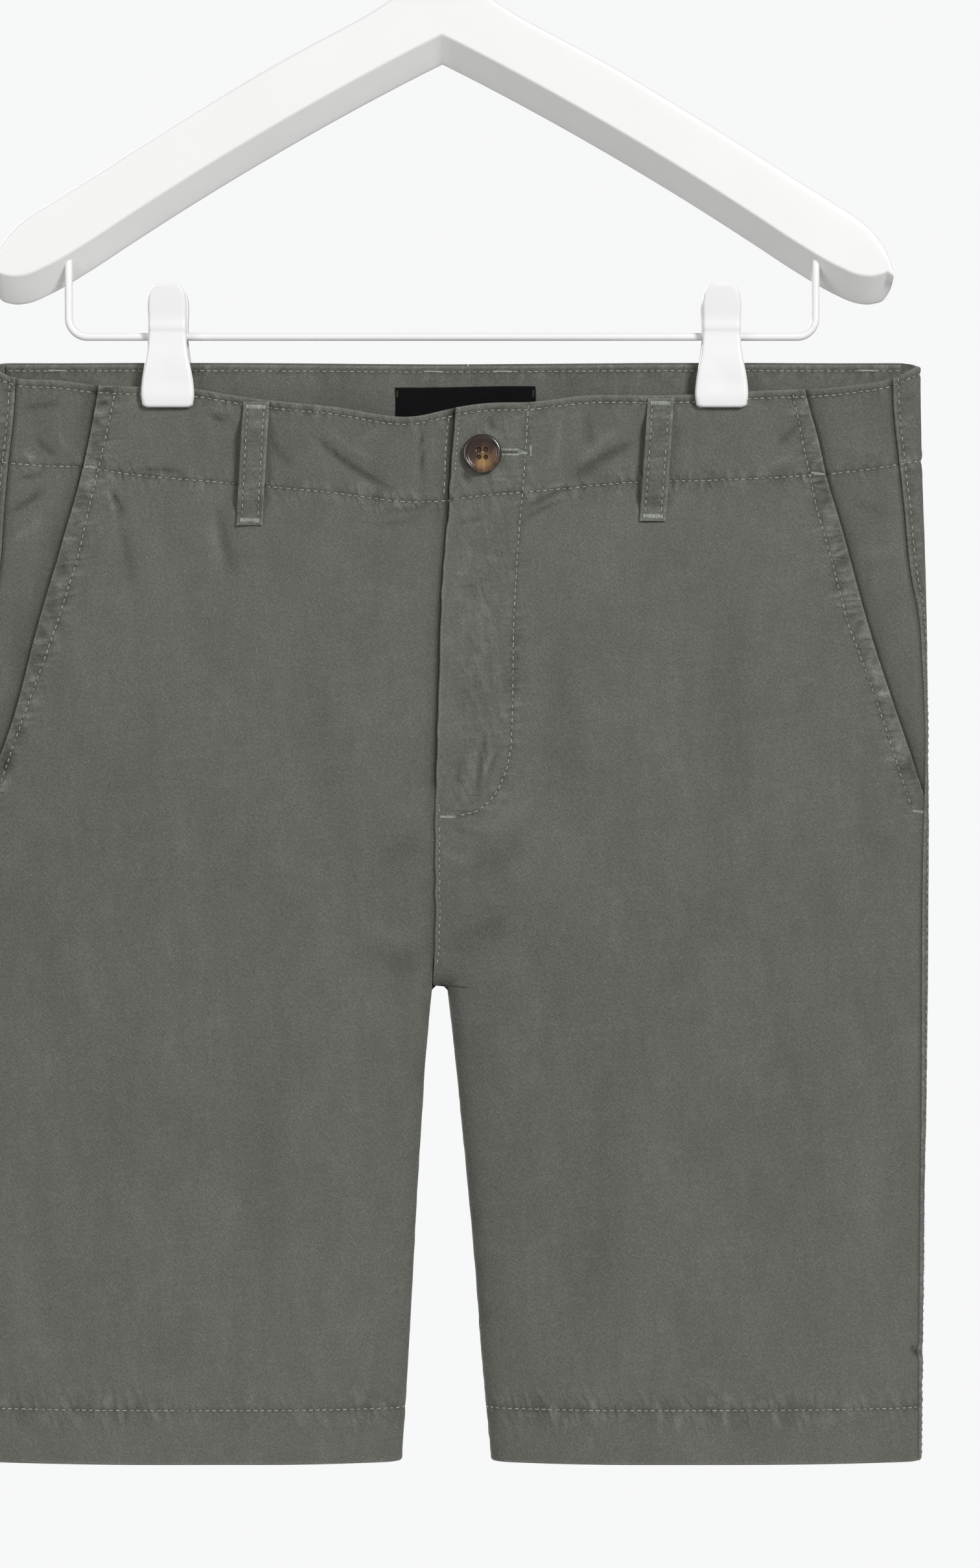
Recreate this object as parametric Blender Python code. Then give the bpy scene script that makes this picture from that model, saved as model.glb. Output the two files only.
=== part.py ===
"""Chino shorts hanging by the waist from a clip hanger.

Metres, +Z up, the front faces -Y. The origin is the inner top of the hanger's hook.
Sizes in this file are millimetres until MM turns them into metres. Left is -X.

The garment is a flat, hollow form: a silhouette (OUTLINE and GAP) filled out to a small
depth (DEPTH). Each cut piece is a wall on that form, between its own two seam lines.
"""

import math
from collections import namedtuple

import bmesh
import bpy
import numpy as np

MM = 0.001

# ---------------------------------------------------------------- driving sizes
BACK_TOP = -278.0  # height of the back waist edge under the hook
FRONT_TOP = -292.0  # mean height of the front waist edge, which dips
CROTCH = -578.4
HEM = -806.9
POCKET_END = -486.9  # where the slant pocket meets the side seam
FLY_END = -496.3

CLOTH = 1.2  # one wall of twill with its turnings
BAND_CLOTH = 1.7  # the front waist, with its inside layers
BAND_DEPTH = 46.0  # waistband height
HEM_DEPTH = 28.0  # turned hem
SEAM_GAP = 0.3  # clearance between neighbouring pieces
FACING_CLOTH = 1.0
LABEL_CLOTH = 1.0

EDGE_ROUND = 8.0  # half width of the rounded fold along a side or an inseam
FLY_LAP = 35.0  # the left front reaches this far under the right one
CROTCH_LAP = 8.0  # lap of the crotch seam under the fly
FLY_RISE = 0.75  # the fly overlap stands this far off the form

CLIP_HOLD = 3.2  # half thickness of the pinched waist between the clip jaws
CLIP_FLAT = 15.0  # half width of the pinched stretch
CLIP_LEFT = -131.9
CLIP_RIGHT = 134.4
WAIST_OPEN = 9.3  # half depth of the waist midway between the clips
WAIST_SIDE = 5.0  # half depth of the waist outside the clips

Section = namedtuple("Section", "z left right")
Seams = namedtuple("Seams", "z front back")
Depth = namedtuple("Depth", "z middle edge")
Top = namedtuple("Top", "x z")
SeamInset = namedtuple("SeamInset", "z inset")
Pocket = namedtuple("Pocket", "z left right")
Fold = namedtuple("Fold", "face x0 z0 x1 z1 width height")
ArmSlice = namedtuple("ArmSlice", "x lower upper")

# Outer silhouette of the garment.
OUTLINE = (
    Section(-278.0, -218.8, 230.3),
    Section(-327.0, -220.0, 231.3),
    Section(-381.0, -220.6, 233.1),
    Section(-458.0, -221.6, 234.1),
    Section(-509.0, -222.8, 234.5),
    Section(-578.0, -224.4, 234.2),
    Section(-666.0, -225.6, 232.8),
    Section(-756.0, -226.0, 231.4),
    Section(-807.0, -226.3, 230.9),
)

# Inner silhouette: the gap between the legs, under the crotch.
GAP = (
    Section(-578.4, -4.4, 2.3),
    Section(-608.0, -7.2, 5.6),
    Section(-645.0, -9.7, 9.4),
    Section(-681.0, -11.9, 12.8),
    Section(-718.0, -13.8, 16.1),
    Section(-756.0, -16.0, 19.0),
    Section(-807.0, -19.2, 23.6),
)

# Middle seams above the crotch: the fly's edge in front, the seat seam behind.
MIDDLE = (
    Seams(-278.0, 7.4, 12.5),
    Seams(-301.0, 6.2, 11.6),
    Seams(-314.0, 4.7, 11.0),
    Seams(-335.0, 3.7, 10.0),
    Seams(-353.0, 2.8, 9.2),
    Seams(-384.0, 0.3, 7.8),
    Seams(-447.0, -1.9, 5.0),
    Seams(-496.0, -3.1, 2.5),
    Seams(-553.0, -3.3, 0.0),
    Seams(-578.4, -4.4, -1.1),
)

# Half depth of the hollow form, at its middle and just inside its rounded edges.
DEPTH = (
    Depth(-278.0, 7.0, 3.6),
    Depth(-330.0, 9.0, 4.4),
    Depth(-400.0, 15.0, 6.2),
    Depth(-460.0, 19.0, 7.0),
    Depth(-520.0, 21.0, 7.2),
    Depth(-580.0, 19.0, 6.6),
    Depth(-650.0, 17.0, 6.2),
    Depth(-740.0, 16.0, 6.0),
    Depth(-807.0, 17.0, 6.4),
)

# Top edge of the front, from side to side. It dips towards the fly and lifts at the clips.
FRONT_EDGE = (
    Top(-218.8, -280.0),
    Top(-207.5, -285.0),
    Top(-185.0, -286.9),
    Top(-166.0, -289.1),
    Top(-119.4, -290.9),
    Top(-94.4, -295.0),
    Top(-52.8, -299.8),
    Top(-12.0, -304.6),
    Top(6.2, -300.6),
    Top(22.2, -298.4),
    Top(42.0, -297.8),
    Top(68.0, -294.5),
    Top(108.8, -294.1),
    Top(146.2, -292.2),
    Top(197.0, -289.4),
    Top(216.0, -286.2),
    Top(230.3, -280.0),
)

# How far the side seam lies in from the silhouette, on the front.
SIDE_SEAM = (
    SeamInset(-278.0, 14.0),
    SeamInset(-302.0, 13.6),
    SeamInset(-327.0, 11.6),
    SeamInset(-346.0, 10.2),
    SeamInset(-380.0, 8.0),
    SeamInset(-400.0, 4.2),
    SeamInset(-426.0, 2.4),
    SeamInset(-461.0, 1.2),
    SeamInset(-509.0, 3.0),
    SeamInset(-666.0, 2.2),
    SeamInset(-807.0, 1.2),
)

# Folded edge of the slant pockets.
POCKET_EDGE = (
    Pocket(-278.0, -164.6, 173.2),
    Pocket(-291.0, -166.2, 175.9),
    Pocket(-310.0, -169.4, 180.9),
    Pocket(-331.0, -173.6, 185.3),
    Pocket(-362.0, -181.6, 193.1),
    Pocket(-405.0, -193.8, 204.4),
    Pocket(-458.0, -208.4, 221.9),
    Pocket(-487.0, -220.2, 232.1),
)

FRONT = -1
BACK = 1

# The largest soft folds: ridges stand out of the cloth, troughs have a negative height.
FOLDS = (
    Fold(FRONT, -63.0, -311.0, -20.0, -342.0, 7.0, -1.3),
    Fold(FRONT, -108.0, -346.0, -97.0, -386.0, 8.0, -1.3),
    Fold(FRONT, 74.0, -326.0, 58.0, -352.0, 8.0, -1.1),
    Fold(FRONT, 104.0, -430.0, 96.0, -790.0, 30.0, 2.4),
    Fold(FRONT, 168.0, -560.0, 160.0, -800.0, 24.0, -1.6),
    Fold(FRONT, -104.0, -400.0, -112.0, -790.0, 32.0, 2.2),
    Fold(FRONT, -58.0, -620.0, -66.0, -800.0, 20.0, -1.5),
    Fold(FRONT, -168.0, -520.0, -176.0, -740.0, 20.0, -1.2),
    Fold(FRONT, 46.0, -520.0, 52.0, -700.0, 18.0, -1.2),
    Fold(BACK, 96.0, -400.0, 108.0, -780.0, 30.0, 2.4),
    Fold(BACK, -92.0, -420.0, -104.0, -790.0, 30.0, 2.2),
    Fold(BACK, 150.0, -330.0, 132.0, -420.0, 12.0, -1.4),
    Fold(BACK, -142.0, -330.0, -126.0, -410.0, 12.0, -1.3),
    Fold(BACK, 60.0, -560.0, 66.0, -760.0, 20.0, -1.6),
    Fold(BACK, -164.0, -560.0, -158.0, -780.0, 22.0, -1.4),
)

# Nominal row heights of the walls. The rows close up where the cloth turns under the crotch.
UPPER_ROWS = (-360.0, -380.0, -402.0, -425.0, -448.0, -470.0, -484.0, -500.0, -520.0, -540.0)
CROTCH_ROWS = (24.0, 15.0, 8.5, 4.0, 1.2, 0.05, -0.6)
LEG_ROWS = (-586.0, -600.0, -620.0, -646.0, -674.0, -703.0, -732.0, -758.0, -779.0, HEM)
SHARED_ROWS = UPPER_ROWS + tuple(CROTCH + step for step in CROTCH_ROWS) + LEG_ROWS
FRONT_ROWS = (FRONT_TOP, -298.0, -306.0, -316.0, -328.0, -342.0) + SHARED_ROWS
BACK_ROWS = (BACK_TOP, -284.0, -292.0, -302.0, -313.0, -325.0, -342.0) + SHARED_ROWS
FACING_ROWS = 6  # rows of the back that its inside facing covers
SHIFT_END = -360.0  # rows follow the curved top edge down to this height
SEAM_REACH = 13.0  # the waist's side seam lies about this far in from the silhouette

THIRDS = (0.0, 1.0 / 3.0, 2.0 / 3.0, 1.0)
POCKET_STEPS = (0.0, 6.0, 13.0, 24.0)  # columns in from a pocket edge
SEAM_STEPS = (0.0, 4.0, 8.0, 13.0)  # columns in from a side seam
MIDDLE_COLUMNS = 7

LOOP_WIDTH = 12.5
LOOP_LENGTH = 59.0
LOOP_CLOTH = 1.4
LOOP_RISE = 5.4  # room for a belt
BUTTON_X = 19.4
BUTTON_Z = -322.8
BUTTON_RADIUS = 9.4

WIRE_RADIUS = 1.9
BAR_HALF = 180.0
BAR_Z = -265.6
BAR_BEND = 9.0
HOOK_RADIUS = 22.0


# ---------------------------------------------------------------- curves through tables
def smooth_step(t):
    t = np.clip(t, 0.0, 1.0)
    return t * t * (3.0 - 2.0 * t)


def curve(rows, key, column, at):
    """A table's column at the given places, on a smooth curve through its rows."""
    rows = sorted(rows, key=lambda row: getattr(row, key))
    x = np.array([getattr(row, key) for row in rows])
    y = np.array([getattr(row, column) for row in rows])
    step = np.diff(x)
    slope = np.diff(y) / step
    inner = (slope[1:] * step[:-1] + slope[:-1] * step[1:]) / (step[1:] + step[:-1])
    tangent = np.concatenate([slope[:1], inner, slope[-1:]])
    at = np.asarray(at, float)
    k = np.clip(np.searchsorted(x, at) - 1, 0, len(x) - 2)
    t = np.clip((at - x[k]) / step[k], 0.0, 1.0)
    rise = step[k] * (tangent[k] * t * (1 - t) ** 2 - tangent[k + 1] * t * t * (1 - t))
    return y[k] + (y[k + 1] - y[k]) * smooth_step(t) + rise


def outline(side, z):
    return curve(OUTLINE, "z", "right" if side > 0 else "left", z)


def gap_edge(side, z):
    return curve(GAP, "z", "right" if side > 0 else "left", np.minimum(z, CROTCH))


def middle_seam(face, z):
    return curve(MIDDLE, "z", "front" if face == FRONT else "back", np.maximum(z, CROTCH))


def top_edge(face, x, inset):
    """Height of the waist's top edge: a dipped curve in front, level behind."""
    if face == FRONT:
        return curve(FRONT_EDGE, "x", "z", x)
    return BACK_TOP - 2.0 * np.exp(-inset / 3.0)


# ---------------------------------------------------------------- the hollow form
def waist_depth(x):
    """Half depth of the waist: pinched flat at the clips, open between and beside them."""
    middle = 0.5 * (CLIP_LEFT + CLIP_RIGHT)
    half = 0.5 * (CLIP_RIGHT - CLIP_LEFT) - CLIP_FLAT
    between = np.cos(np.clip((x - middle) / half, -1.0, 1.0) * 0.5 * math.pi) ** 2
    outside = smooth_step((np.abs(x - middle) - half - 2.0 * CLIP_FLAT) / 45.0)
    return CLIP_HOLD + (WAIST_OPEN - CLIP_HOLD) * between + (WAIST_SIDE - CLIP_HOLD) * outside


def folds_at(face, x, z):
    """Height of the soft folds at a point of the form."""
    total = np.zeros_like(np.asarray(x, float) + z)
    for fold in FOLDS:
        if fold.face != face:
            continue
        along = np.array([fold.x1 - fold.x0, fold.z1 - fold.z0])
        length = math.hypot(*along)
        along = along / length
        run = (x - fold.x0) * along[0] + (z - fold.z0) * along[1]
        off = (x - fold.x0) * along[1] - (z - fold.z0) * along[0]
        ends = smooth_step(run / (0.3 * length)) * smooth_step((length - run) / (0.3 * length))
        total = total + fold.height * ends * np.exp(-((off / fold.width) ** 2))
    return total


def edge_length(z):
    """Girth of the quarter turn from a silhouette point to the flat of the cloth."""
    return 0.25 * math.pi * (EDGE_ROUND + curve(DEPTH, "z", "edge", z))


def girth_of(inset, z):
    """Girth from the silhouette to a point that lies this far in from it."""
    turn = np.arccos(1.0 - np.clip(inset / EDGE_ROUND, 0.0, 1.0)) / (0.5 * math.pi)
    return edge_length(z) * turn + np.maximum(inset - EDGE_ROUND, 0.0)


def inset_of(girth, z):
    length = edge_length(z)
    turn = np.clip(girth / length, 0.0, 1.0) * 0.5 * math.pi
    return EDGE_ROUND * (1.0 - np.cos(turn)) + np.maximum(girth - length, 0.0)


def form_point(side, face, x, z):
    """Point on the form's outer skin and its normal, for one leg's side of one face."""
    outer_inset = np.maximum(side * (outline(side, z) - x), 0.0)
    gap_x = np.clip(x, gap_edge(-1, z), gap_edge(1, z))
    reach_x = x - gap_x
    reach_z = np.maximum(z - CROTCH, 0.0)
    reach = np.hypot(reach_x, reach_z)
    outer_turn = np.arccos(1.0 - np.clip(outer_inset / EDGE_ROUND, 0.0, 1.0))
    inner_turn = np.arccos(1.0 - np.clip(reach / EDGE_ROUND, 0.0, 1.0))
    near_waist = smooth_step((z + 400.0) / 100.0)
    edge = curve(DEPTH, "z", "edge", z)
    middle = curve(DEPTH, "z", "middle", z) * (1 - near_waist) + waist_depth(x) * near_waist
    swell = (1 - (1 - np.clip(outer_inset / 90.0, 0, 1)) ** 2) * (
        1 - (1 - np.clip(reach / 70.0, 0, 1)) ** 2
    )
    flat = np.sin(outer_turn) * np.sin(inner_turn)
    depth = edge * flat + (middle - edge) * swell + folds_at(face, x, z) * swell
    depth = np.maximum(depth, 0.0)
    safe = np.maximum(reach, 1e-6)
    normal = np.stack(
        [
            side * np.cos(outer_turn) - reach_x / safe * np.cos(inner_turn),
            face * np.maximum(flat, 1e-3),
            -reach_z / safe * np.cos(inner_turn),
        ],
        axis=-1,
    )
    at_gap = reach < 1e-6
    under = np.where(z > CROTCH - 0.3, 1.0, 0.0)
    normal[..., 0] = np.where(at_gap & (under == 0), -side, normal[..., 0])
    normal[..., 2] = np.where(at_gap & (under == 1), -1.0, normal[..., 2])
    normal = normal / np.linalg.norm(normal, axis=-1, keepdims=True)
    point = np.stack([x, face * (depth + 0.5 * SEAM_GAP), np.broadcast_to(z, x.shape)], axis=-1)
    return point, normal


def turned(z):
    """0 on the body, 1 on the legs, where a wall ends on the rounded inseam."""
    return smooth_step((CROTCH + 20.0 - z) / 20.0)


def lap(z):
    """How far the left front runs under the right one at this height."""
    fly = smooth_step((z - FLY_END) / 12.0)
    end = smooth_step((z - CROTCH - 13.0) / 9.0)
    return (CROTCH_LAP + (FLY_LAP - CROTCH_LAP) * fly) * end


def lap_hold(z):
    """1 while the lapped walls stand apart, 0 at the crotch, where they only meet."""
    return smooth_step((z - CROTCH - 2.0) / 10.0)


def wall(face, z, top):
    """Thickness of the cloth: more in the front waistband and the turned hem."""
    band = smooth_step((z - top + BAND_DEPTH) / 4.0) if face == FRONT else 0.0
    hem = smooth_step((HEM + HEM_DEPTH - z) / 3.0)
    return CLOTH + (BAND_CLOTH - CLOTH) * np.maximum(band, hem)


# ---------------------------------------------------------------- rows of a wall
def inner_end(side, face, z):
    """X of a wall's inner edge: the middle seam, or the inseam on the legs."""
    if z < CROTCH:
        return float(gap_edge(side, z))
    seam = float(middle_seam(face, z))
    if face == BACK:
        return seam + side * 0.5 * SEAM_GAP
    if side > 0:
        return seam
    return seam + float(lap(z)) - SEAM_GAP * (1.0 - float(smooth_step(lap(z) / 2.0)))


def row_columns(side, face, z, edge, start, outer_steps, inner_span):
    """X and face of each point along one row, from the outer seam to the inner edge.

    edge is the silhouette's x. start is the girth of the outer seam from the silhouette: it is
    negative where the wall starts on the other face and wraps round the side.
    """
    leg = float(turned(z))
    length = float(edge_length(z))
    inner = inner_end(side, face, z)
    turn_excess = length - EDGE_ROUND
    total = side * (edge - inner) + turn_excess * (1.0 + leg) - start - 0.5 * SEAM_GAP * leg
    steps = [inner_span * share for share in THIRDS]
    room = total - outer_steps[-1] - steps[-1]
    distances = list(outer_steps)
    for column in range(1, MIDDLE_COLUMNS):
        distances.append(outer_steps[-1] + room * column / MIDDLE_COLUMNS)
    distances += [total - step for step in reversed(steps)]
    points = []
    for distance in distances:
        girth = start + distance
        if distance < 0.5 * total:
            inset = float(inset_of(abs(girth), z))
            points.append((edge - side * inset, face if girth >= 0 else -face))
            continue
        left = total - distance + 0.5 * SEAM_GAP * leg
        straight = inner + side * left
        rounded = inner + side * float(inset_of(left, z))
        points.append((straight + (rounded - straight) * leg, face))
    return points


def shifted(z, face, x, inset, nominal):
    """A row's height once the rows near the waist follow the curved top edge."""
    share = np.clip((z - SHIFT_END) / (nominal - SHIFT_END), 0.0, 1.0)
    return z + (top_edge(face, x, inset) - nominal) * share


def outer_height(side, z, nominal):
    """Height of a row where it meets the side seam."""
    x = float(outline(side, z)) - side * SEAM_REACH
    return float(shifted(z, FRONT, x, SEAM_REACH, nominal))


def grid(side, face, rows, nominal, start_of, outer_steps_of, lift_of):
    """Outer and inner points of a wall, as arrays of rows by columns by 3."""
    outer = []
    inner = []
    for z in rows:
        span = float(lap(z)) if z > CROTCH + 13.0 and face == FRONT else 0.0
        span = max(span, 12.0 if face == FRONT else 27.0 - 15.0 * float(turned(z)))
        if face == FRONT and z > CROTCH + 22.0:
            span = float(lap(z))
        edge = float(outline(side, outer_height(side, z, nominal)))
        columns = row_columns(side, face, z, edge, start_of(z), outer_steps_of(z), span)
        out_row = []
        in_row = []
        for x, here in columns:
            inset = side * (edge - x)
            height = shifted(z, here, x, inset, nominal)
            point, normal = form_point(side, here, np.array(x), np.array(height))
            lift = lift_of(x, z)
            top = float(top_edge(here, x, inset))
            thick = float(wall(face, height, top))
            out_row.append(point + normal * lift)
            in_row.append(point + normal * (lift - thick))
        outer.append(out_row)
        inner.append(in_row)
    return np.array(outer), np.array(inner)


# ---------------------------------------------------------------- meshes
def material(name, colour, roughness, metallic=0.0):
    made = bpy.data.materials.new(name)
    made.use_nodes = True
    shader = made.node_tree.nodes["Principled BSDF"]
    shader.inputs["Base Color"].default_value = (*colour, 1.0)
    shader.inputs["Roughness"].default_value = roughness
    shader.inputs["Metallic"].default_value = metallic
    made.diffuse_color = (*colour, 1.0)
    return made


def add_object(name, mesh, surface):
    made = bpy.data.objects.new(name, mesh)
    bpy.context.scene.collection.objects.link(made)
    mesh.materials.append(surface)
    mesh.shade_smooth()
    mesh.set_sharp_from_angle(angle=math.radians(38.0))
    return made


def closed_shell(name, outer, inner, surface):
    """A thin wall from its outer and inner grids, closed along its four edges."""
    rows, columns = outer.shape[:2]
    made = bmesh.new()
    out = [[made.verts.new(point * MM) for point in row] for row in outer]
    back = [[made.verts.new(point * MM) for point in row] for row in inner]
    for i in range(rows - 1):
        for j in range(columns - 1):
            made.faces.new((out[i][j], out[i][j + 1], out[i + 1][j + 1], out[i + 1][j]))
            made.faces.new((back[i][j], back[i + 1][j], back[i + 1][j + 1], back[i][j + 1]))
    for i in range(rows - 1):
        made.faces.new((out[i][0], out[i + 1][0], back[i + 1][0], back[i][0]))
        made.faces.new((out[i][-1], back[i][-1], back[i + 1][-1], out[i + 1][-1]))
    for j in range(columns - 1):
        made.faces.new((out[0][j], back[0][j], back[0][j + 1], out[0][j + 1]))
        made.faces.new((out[-1][j], out[-1][j + 1], back[-1][j + 1], back[-1][j]))
    if made.calc_volume(signed=True) < 0:
        bmesh.ops.reverse_faces(made, faces=made.faces)
    mesh = bpy.data.meshes.new(name)
    made.to_mesh(mesh)
    made.free()
    return add_object(name, mesh, surface)


def seam_start(side, z, nominal):
    """Girth of the side seam from the silhouette."""
    seen = outer_height(side, z, nominal)
    return float(girth_of(curve(SIDE_SEAM, "z", "inset", seen), z))


def pocket_start(side, z):
    """Girth of the pocket's folded edge from the silhouette."""
    seen = outer_height(side, z, FRONT_TOP)
    fold = curve(POCKET_EDGE, "z", "right" if side > 0 else "left", seen)
    return float(girth_of(np.maximum(side * (outline(side, seen) - fold), 0.0), z))


def front_start(side, z):
    seam = seam_start(side, z, FRONT_TOP) + 0.5 * SEAM_GAP
    return max(seam, pocket_start(side, z)) if z > POCKET_END else seam


def front_steps(z):
    share = float(smooth_step((z - POCKET_END) / 30.0))
    return [low + (high - low) * share for low, high in zip(SEAM_STEPS, POCKET_STEPS)]


def front_lift(side):
    def lift(x, z):
        """The right front rises over the fly; the left one is held down under it."""
        from_edge = x - float(middle_seam(FRONT, z))
        hold = float(lap_hold(z))
        if side > 0:
            reach = float(lap(z)) + 4.0
            return FLY_RISE * hold * (1.0 - float(smooth_step((from_edge - reach) / 14.0)))
        under = BAND_CLOTH if z > FRONT_TOP - BAND_DEPTH - 14.0 else CLOTH
        down = under + SEAM_GAP - FLY_RISE
        return -down * hold * float(smooth_step((from_edge + 12.0) / 8.0))

    return lift


def front(side, name, surface):
    outer, inner = grid(
        side, FRONT, FRONT_ROWS, FRONT_TOP,
        lambda z: front_start(side, z), front_steps, front_lift(side),
    )
    return closed_shell(name, outer, inner, surface)


def back_grid(side):
    def steps(z):
        reach = seam_start(side, z, BACK_TOP) - 0.5 * SEAM_GAP
        return (0.0, 0.5 * reach, reach, reach + 5.0, reach + 11.0, reach + 24.0)

    return grid(
        side, BACK, BACK_ROWS, BACK_TOP,
        lambda z: 0.5 * SEAM_GAP - seam_start(side, z, BACK_TOP), steps, lambda x, z: 0.0,
    )


def side_piece(side, name, surface):
    """The piece behind the slant pocket, from the side seam to well under the pocket edge."""
    outer = []
    inner = []
    for z in [row for row in FRONT_ROWS if row >= POCKET_END]:
        seam = seam_start(side, z, FRONT_TOP) + 0.5 * SEAM_GAP
        pocket = pocket_start(side, z)
        edge = float(outline(side, outer_height(side, z, FRONT_TOP)))
        below = BAND_CLOTH if z > FRONT_TOP - BAND_DEPTH - 14.0 else CLOTH
        out_row = []
        in_row = []
        girths = [seam + (pocket - seam) * share for share in THIRDS]
        girths += [pocket + step for step in front_steps(z)[1:]]
        for girth in girths:
            inset = float(inset_of(girth, z))
            x = edge - side * inset
            height = shifted(z, FRONT, x, inset, FRONT_TOP)
            point, normal = form_point(side, FRONT, np.array(x), np.array(height))
            share = float(smooth_step((girth - seam) / max(pocket - seam, 0.1)))
            lift = -(below + SEAM_GAP) * share
            out_row.append(point + normal * lift)
            in_row.append(point + normal * (lift - CLOTH))
        outer.append(out_row)
        inner.append(in_row)
    return closed_shell(name, np.array(outer), np.array(inner), surface)


TOWARD_FRONT = np.array([0.0, -1.0, 0.0])
FACING_DROP = 0.8  # the facing's top edge lies this far below the back's
SEAT_CLEAR = 0.1  # more clearance for a piece that rests on another
LABEL_LEFT = -22.8
LABEL_RIGHT = 45.0
LABEL_TOP = -289.4
LABEL_BOTTOM = -328.0


def inside_strip(name, left_inner, right_inner, first, last, thick, surface):
    """A strip on the inside of both backs, made from their points moved in.

    Returns the strip's own inner points.
    """
    left = left_inner[:FACING_ROWS, first:last]
    right = right_inner[:FACING_ROWS, first:last][:, ::-1]
    middle = 0.5 * (left[:, -1:] + right[:, :1])
    line = np.concatenate([left[:, :-1], middle, right[:, 1:]], axis=1)
    line[0, :, 2] -= FACING_DROP
    outer = line + TOWARD_FRONT * SEAM_GAP
    inner = line + TOWARD_FRONT * (SEAM_GAP + thick)
    closed_shell(name, outer, inner, surface)
    return inner


def label(facing, surface):
    """A bare woven label on the facing, made from the facing's points moved in."""
    outer = []
    for z in np.linspace(LABEL_TOP, LABEL_BOTTOM, 4):
        row = []
        for x in np.linspace(LABEL_LEFT, LABEL_RIGHT, 5):
            depth = []
            for line in facing:
                depth.append((line[:, 2].mean(), np.interp(x, line[:, 0], line[:, 1])))
            depth.sort()
            y = np.interp(z, [d[0] for d in depth], [d[1] for d in depth])
            row.append((x, y, z))
        outer.append(row)
    outer = np.array(outer) + TOWARD_FRONT * (SEAM_GAP + SEAT_CLEAR)
    return closed_shell("label", outer, outer + TOWARD_FRONT * LABEL_CLOTH, surface)


def skin_y(side, face, x, z, lift=0.0):
    """Y of the cloth's outer skin, moved out by lift."""
    point, _ = form_point(side, face, np.array(float(x)), np.array(float(z)))
    return float(point[1]) + face * lift


# Rows of a belt loop, as shares of its length, closer where it bends.
LOOP_SHARES = (0.0, 0.07, 0.13, 0.19, 0.26, 0.42, 0.58, 0.74, 0.81, 0.87, 0.93, 1.0)
LOOP_TACKED = 0.08  # share of the loop that lies flat at each end
LOOP_RISEN = 0.25  # share at which it stands fully off the waist
LOOP_TILT = 0.15  # how much lower one edge may lie than the other


def belt_loop(name, side, face, top, bottom, surface):
    """A strip stitched down at both ends, standing off the waist in between."""
    outer = []
    inner = []
    half = 0.5 * LOOP_WIDTH
    for share in LOOP_SHARES:
        x = top[0] + (bottom[0] - top[0]) * share
        z = top[1] + (bottom[1] - top[1]) * share
        from_end = min(share, 1.0 - share)
        rise = float(smooth_step((from_end - LOOP_TACKED) / (LOOP_RISEN - LOOP_TACKED)))
        out_row = []
        in_row = []
        seat = max(face * skin_y(side, face, x + across * half, z) for across in (-1, 0, 1))
        for across in (-1, 1):
            place = x + across * half
            foot = face * skin_y(side, face, place, z)
            base = max(foot, seat - LOOP_TILT) + SEAM_GAP + SEAT_CLEAR + LOOP_RISE * rise
            in_row.append((place, face * base, z))
            out_row.append((place, face * (base + LOOP_CLOTH), z))
        outer.append(out_row)
        inner.append(in_row)
    return closed_shell(name, np.array(outer), np.array(inner), surface)


def finished(name, made, surface):
    """An object from a closed bmesh, its faces turned outwards."""
    bmesh.ops.recalc_face_normals(made, faces=made.faces)
    if made.calc_volume(signed=True) < 0:
        bmesh.ops.reverse_faces(made, faces=made.faces)
    mesh = bpy.data.meshes.new(name)
    made.to_mesh(mesh)
    made.free()
    return add_object(name, mesh, surface)


def revolved(name, profile, sides, surface):
    """A turned piece about Y from (radius, y) pairs that start and end on the axis."""
    made = bmesh.new()
    rings = []
    for radius, y in profile:
        if radius == 0.0:
            rings.append([made.verts.new((0.0, y * MM, 0.0))])
            continue
        ring = []
        for k in range(sides):
            angle = 2.0 * math.pi * k / sides
            place = (radius * math.cos(angle), y, radius * math.sin(angle))
            ring.append(made.verts.new([value * MM for value in place]))
        rings.append(ring)
    for first, second in zip(rings, rings[1:]):
        for k in range(sides):
            corners = [first[k % len(first)], first[(k + 1) % len(first)]]
            corners += [second[(k + 1) % len(second)], second[k % len(second)]]
            unique = list(dict.fromkeys(corners))
            made.faces.new(unique)
    return finished(name, made, surface)


def lofted(name, rings, surface):
    """A closed body through rings of (x, y, z) points, capped at both ends."""
    made = bmesh.new()
    rows = []
    for ring in rings:
        rows.append([made.verts.new([value * MM for value in point]) for point in ring])
    for first, second in zip(rows, rows[1:]):
        for k in range(len(first)):
            after = (k + 1) % len(first)
            made.faces.new((first[k], first[after], second[after], second[k]))
    made.faces.new(rows[0])
    made.faces.new(list(reversed(rows[-1])))
    return finished(name, made, surface)


def cylinder_cutter(name, radius, length, place, along, sides=12):
    """A guide solid for a hole, hidden from the render."""
    made = bmesh.new()
    bmesh.ops.create_cone(
        made, cap_ends=True, segments=sides, radius1=radius * MM, radius2=radius * MM,
        depth=length * MM,
    )
    mesh = bpy.data.meshes.new(name)
    made.to_mesh(mesh)
    made.free()
    cutter = bpy.data.objects.new(name, mesh)
    bpy.context.scene.collection.objects.link(cutter)
    cutter.location = [value * MM for value in place]
    if along == "y":
        cutter.rotation_euler = (0.5 * math.pi, 0.0, 0.0)
    cutter.hide_render = True
    cutter.display_type = "WIRE"
    return cutter


def cut(target, cutter):
    modifier = target.modifiers.new("hole", "BOOLEAN")
    modifier.operation = "DIFFERENCE"
    modifier.solver = "EXACT"
    modifier.object = cutter


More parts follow.
